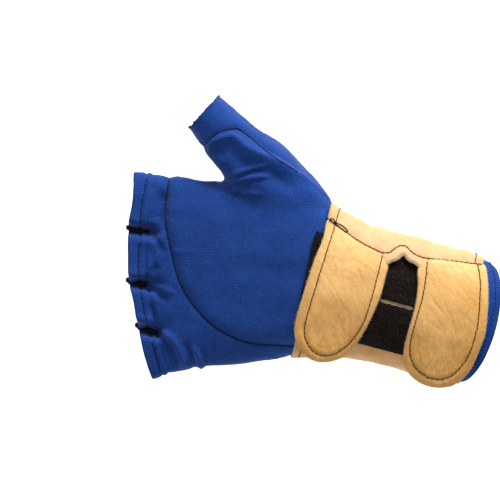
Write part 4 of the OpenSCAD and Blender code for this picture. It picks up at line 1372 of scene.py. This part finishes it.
def make_wrap():
    """The leather from the straps' seam round the thumb's side and the back to the slit."""
    rows = np.unique(np.round(np.concatenate([
        np.arange(WRAP_FRONT, WRAP_REAR + 0.1, 0.8), np.arange(-13, 11, 0.3)]), 3))
    edge_v = np.interp(rows, WRAP_EDGE[:, 0], WRAP_EDGE[:, 1])
    first = section_angle(rows, edge_v, STRAP_TOP)
    last = section_angle(rows, np.full_like(rows, SLIT_V - 0.4), 0 * rows) - 360
    share = np.linspace(0, 1, WRAP_COLS) ** 1.12
    angle = mix(first[:, None], last[:, None], share)
    u = np.broadcast_to(rows[:, None], angle.shape)
    # distances from the wrap's own edges and seams, along it and round it
    round_mm = angle / 360 * WRIST_ROUND
    front, rear = u - WRAP_FRONT, WRAP_REAR - u
    low = (first[:, None] - angle) / 360 * WRIST_ROUND
    sewn = np.minimum(np.abs(front - FRONT_MARGIN), np.abs(rear - REAR_MARGIN))
    edge = np.minimum(np.minimum(front, rear), 12)
    lift = -0.35 * bump(edge, 1.0) - 0.28 * bump(sewn, 0.75) + 0.12 * bump(sewn - 1.7, 0.9)
    flat = np.stack([u, round_mm], axis=-1).reshape(-1, 2)
    dent, _, _ = beside(wrist_uv(wrap_line(u, angle, 0).reshape(-1, 3)), YOKE_SEAM)
    dent = np.where(round_mm.ravel() > 8, dent, 99)
    lift = lift.ravel() - 0.30 * bump(dent, 0.75)
    calm = ease(low.ravel() / 6)
    # the leather gathers where it turns round the thumb's side
    side = bump(angle.ravel() - 12, 45) * calm
    gather = waves(flat * np.array([1.0, 0.16]), 9.0, 41)
    along_u = u.ravel()
    hump = (1.0 * bump(along_u + 41, 4) + 0.7 * bump(along_u + 29, 4) - 0.5 * bump(along_u + 21, 3)
            + 0.5 * bump(along_u + 15.5, 3) + 1.2 * bump(along_u - 31, 6))
    lift += side * (hump + 0.25 * gather + 0.12 * waves(flat * np.array([1.0, 0.3]), 4.0, 42))
    lift += 0.22 * waves(flat, 16, 43) * calm
    points = wrap_line(u, angle, np.maximum(lift, -0.45).reshape(u.shape)).reshape(-1, 3)
    faces = grid_faces(len(rows), WRAP_COLS)[:, ::-1].tolist()
    surface = surface_from(points, faces)
    wrap = thicken("wrap_leather", surface, LEATHER_T, 0.6, at_straps)
    rubbed = smooth_line(NOTCH, step=0.6)
    for face in wrap.data.polygons:
        if face.center.z > 30 and face.material_index == 0:
            uv = wrist_uv(np.array([face.center[:]]))
            if abs(uv[0, 0]) < 10 and uv[0, 1] < 24 and beside(uv, rubbed)[0][0] < draw.uniform(0.7, 1.1):
                face.material_index = 1
    finish_piece(wrap, [PALE_LEATHER, SUEDE], "glove", ["wrist_wrap"])
    edge_fibres("notch_fringe", SUEDE, "glove", smooth_line(NOTCH, step=0.5)[::-1], STRAP_TOP, 45, 14.0, 0.9)
    return tree_of(surface)


def make_wrap_seams(tree):
    """The seams along the wrap's two edges, the seam of the straps, and that seam's knot."""
    for name, u, node in (("wrap_front_seam", WRAP_FRONT + FRONT_MARGIN, "wrap_front_stitching"),
                          ("wrap_rear_seam", WRAP_REAR - REAR_MARGIN, "wrap_rear_stitching")):
        angle = np.arange(54, -237, -1.5)
        near = nearest_on(tree, wrap_line(np.full_like(angle, u), angle, 0))
        path = np.array([hit[0][:] for hit in near if hit[3] < 2.5])
        ups = path * np.array([0, 1, 1]) - np.array([0, path[:, 1].mean(), 25.0])
        sew(name, node, [(path, ups)], 2.4, 2.55, 0.48, 0.10, -0.05)
    over = wrist_height(YOKE_SEAM[:, 0], YOKE_SEAM[:, 1], STRAP_TOP) - 0.25
    path = wrist_point(YOKE_SEAM[:, 0], YOKE_SEAM[:, 1], over)
    path = np.array([hit[0][:] if hit[3] < 2.5 else p for hit, p in zip(nearest_on(tree, path), path)])
    ups = np.tile([0.0, 0.25, 1.0], (len(path), 1))
    sew("yoke_seam", "strap_seam_stitching", [(path, ups)], 2.4, 2.6, 0.48, 0.08, -0.2)
    paths = []
    for loop, high in ((KNOT_LOOP, 0.5), (LOOSE_LOOP, 0.35), (KNOT_WRAP, 0.45)):
        u, v = smooth_line(loop, step=0.3).T
        arch = high + 0.25 * np.sin(np.linspace(0, math.pi, len(u)))
        paths.append(wrist_point(u, v, wrist_height(u, v, STRAP_TOP) + arch))
    lay_threads("yoke_thread_knot", [], paths, 0.24)


def box_outline(u0, u1, v0, v1):
    """A four-sided outline over u and v, anticlockwise."""
    return np.array([[u0, v0], [u1, v0], [u1, v1], [u0, v1]])


def make_layer(name, outline, low, thick, material, node, seed, pile):
    """A flat layer under the straps, low above the wrist, with a pile that rough."""
    def height(uv):
        return (wrist_height(uv[:, 0], uv[:, 1], low + thick) - 0.2 * bump(within(uv, outline), 0.6)
                + pile * waves(uv, 1.7, seed) + 0.25 * waves(uv, 14, seed + 1))

    layer = thicken(name, draped(outline, height, 0.8), thick, 0.35)
    finish_piece(layer, [material, material], "glove", [node])


def pile_fibres(name, window, base, count, seed):
    """Fibres standing out of a loop patch, over the part that is open to view."""
    pick = np.random.default_rng(seed)
    window = np.array(window)
    uv = pick.uniform(window.min(0), window.max(0), (count * 3, 2))
    uv = uv[within(uv, window) > 0.3][:count]
    roots = wrist_point(uv[:, 0], uv[:, 1], wrist_height(uv[:, 0], uv[:, 1], base))
    up = np.tile([0.0, 0.0, 1.0], (len(uv), 1))
    fibres(name, LOOP, "glove", roots, up, 0.7, 0.13, seed + 1, 0.9)


def make_layers():
    """The underlap with its loop patch, the wrap's loop patch, and the fibres of both patches."""
    make_layer("underlap_leather", box_outline(-40, 38, SLIT_V + 0.5, 25), WRAP_GAP,
               UNDERLAP_T, FUZZ, "underlap_flap", 51, 0.04)
    make_layer("underlap_loop_pile", box_outline(-38, 35.5, SLIT_V + 1.0, 24), UNDERLAP_TOP, LOOP_T,
               LOOP, "underlap_loop", 53, 0.12)
    make_layer("wrap_loop_pile", box_outline(-38, 35.5, -28, SLIT_V - 0.9), WRAP_TOP + 0.1, LOOP_T,
               LOOP, "wrap_loop", 55, 0.12)
    pile_fibres("underlap_pile_fibres", [[-16, SLIT_V + 1.3], [14, SLIT_V + 1.3], [9, 18], [-8.5, 18]],
                UNDERLAP_TOP + LOOP_T, 1500, 91)
    pile_fibres("wrap_pile_fibres", [[-24, -27.5], [16, -27.5], [14, SLIT_V - 1.2], [-16, SLIT_V - 1.2]],
                WRAP_TOP + 0.1 + LOOP_T, 2000, 93)


# ---- pads in their pockets ----

# Middle and half axes of the palm pad's outline: along the hand, and as a fraction of its width
PAD_MID, PAD_R = (-4, 0.58), (72, 1.5)


def hole_f(length, more):
    """The fraction of the half width at which the thumb's hole, grown by more, begins."""
    x = np.clip((length - HOLE_MID) / (HOLE_HALF + more), -1, 1)
    return np.cos(np.radians((HOLE_ANGLE + 2 * more) * np.sqrt(1 - x * x))) ** (2 / squareness(length))


def pad_surface(depth, grow, rows=60, cols=60):
    """The palm pad's outline, depth under the knit and grown along the hand."""
    first = PAD_MID[0] - PAD_R[0]
    t = (1 - np.cos(np.linspace(0, math.pi / 2, rows)))[:, None]
    length = mix(first + 3 - grow, -6 + grow, t)
    reach = np.sqrt(np.clip(1 - ((np.maximum(length, first + 0.2) - PAD_MID[0]) / PAD_R[0]) ** 2, 0, 1))
    low = PAD_MID[1] - PAD_R[1] * reach + 0.04 - grow * 0.01
    high = np.minimum(0.84, hole_f(length, 2.4)) + grow * 0.01
    f = mix(low, high, np.linspace(0, 1, cols)[None, :])
    points = skin(np.broadcast_to(length, f.shape), f, 1, -FABRIC_T) - np.array([0, 0, depth])
    return surface_from(points.reshape(-1, 3), grid_faces(rows, cols)[:, ::-1].tolist())


def thumb_pad_surface(depth, rows=40, cols=30):
    """The thumb pad's outline, depth under the knit."""
    k = np.linspace(0.5, 3.5, rows)[:, None]
    angle = np.linspace(58, 135, cols)[None, :]
    points = thumb_point(*np.broadcast_arrays(k, angle), -FABRIC_T - depth).reshape(-1, 3)
    points[:, 2] += np.minimum(thumb_facet(points), 0.2)
    return surface_from(points, grid_faces(rows, cols)[:, ::-1].tolist())


def make_pads():
    """The polymer pads under the knit, and the linings that close their pockets inside."""
    for name, surface, thick, node, flat, area in (
        ("palm_polymer_pad", pad_surface(0.4, 0), PAD_T, "palm_pad", None, None),
        ("palm_pad_pocket", pad_surface(PAD_T + 0.55, 1), LINING_T, "palm_pad_lining",
         (0.076, 0.078), 0.0043),
        ("thumb_polymer_pad", thumb_pad_surface(0.3), PAD_T - 0.6, "thumb_pad", None, None),
        ("thumb_pad_pocket", thumb_pad_surface(PAD_T - 0.1), LINING_T, "thumb_pad_lining",
         (0.018, 0.038), 0.00052),
    ):
        piece = thicken(name, surface, thick, 0.5)
        material = LINING if flat else FOAM
        finish_piece(piece, [material, material], "glove", [node])


make_liner()
make_liner_seams()
make_tacks()
make_cuff_seam()
make_inner_seams()
make_mouth_fibres()
make_pads()
make_wrap_seams(make_wrap())
make_layers()
make_strap("front_strap_leather", FRONT_OUTLINE, FRONT_STITCH, "front_strap", FRONT_BODY,
           FRONT_CREASES, 61)
make_strap("rear_strap_leather", REAR_OUTLINE, REAR_STITCH, "rear_strap", REAR_BODY,
           REAR_CREASES, 71)
make_hook("front_hook_pile", FRONT_HOOK_OUTLINE, "front_strap_hook", FRONT_BODY)
make_hook("rear_hook_pile", REAR_HOOK_OUTLINE, "rear_strap_hook", REAR_BODY)

# ---- camera, light and floor ----

# What the camera looks at from CAMERA_HIGH, in metres
VIEW_MID = (-31.2 * MM, -4.3 * MM)
VIEW_WIDTH = 250 * MM
CAMERA_HIGH = 7.0
SENSOR = 36
FLOOR_HALF, FLOOR_Z = 3, -0.0008


def make_stage():
    """The camera over the palm, three area lights, a dim white world and a pale floor."""
    camera = bpy.data.objects.new("camera", bpy.data.cameras.new("camera"))
    camera.data.sensor_width = SENSOR
    camera.data.lens = SENSOR * CAMERA_HIGH / VIEW_WIDTH
    camera.location = (*VIEW_MID, CAMERA_HIGH + 25 * MM)
    camera.data.clip_end = 50
    bpy.context.scene.collection.objects.link(camera)
    bpy.context.scene.camera = camera
    for name, place, size, power in (
        ("key", (0.36, 1.05, 0.58), 0.45, 19.5),
        ("fill", (-0.9, -0.35, 0.9), 1.2, 1.0),
        ("top", (0.2, 0.1, 1.6), 1.2, 7.6),
    ):
        light = bpy.data.lights.new(name, "AREA")
        light.size = size
        light.energy = power
        lamp = bpy.data.objects.new(name, light)
        lamp.location = place
        lamp.rotation_euler = (Vector((0, 0, 0.02)) - Vector(place)).to_track_quat("-Z", "Y").to_euler()
        bpy.context.scene.collection.objects.link(lamp)
    world = bpy.data.worlds.new("studio")
    world.use_nodes = True
    background = world.node_tree.nodes["Background"].inputs
    background["Color"].default_value = (1, 1, 1, 1)
    background["Strength"].default_value = 0.22
    bpy.context.scene.world = world
    bpy.context.scene.view_settings.view_transform = "Standard"
    corners = [[x * FLOOR_HALF, y * FLOOR_HALF, FLOOR_Z] for x, y in ((-1, -1), (1, -1), (1, 1), (-1, 1))]
    floor = make_mesh("floor", corners, [[0, 1, 2, 3]])
    n = Nodes("pale_floor", 0.9, Emission_Color=(1, 1, 1, 1), Emission_Strength=1.0)
    shades = [(0.0, (0.93, 0.93, 0.93)), (1.0, (0.97, 0.97, 0.97))]
    floor.data.materials.append(n.finish(n.ramp(n.noise(n.place, 4), shades)))


make_stage()
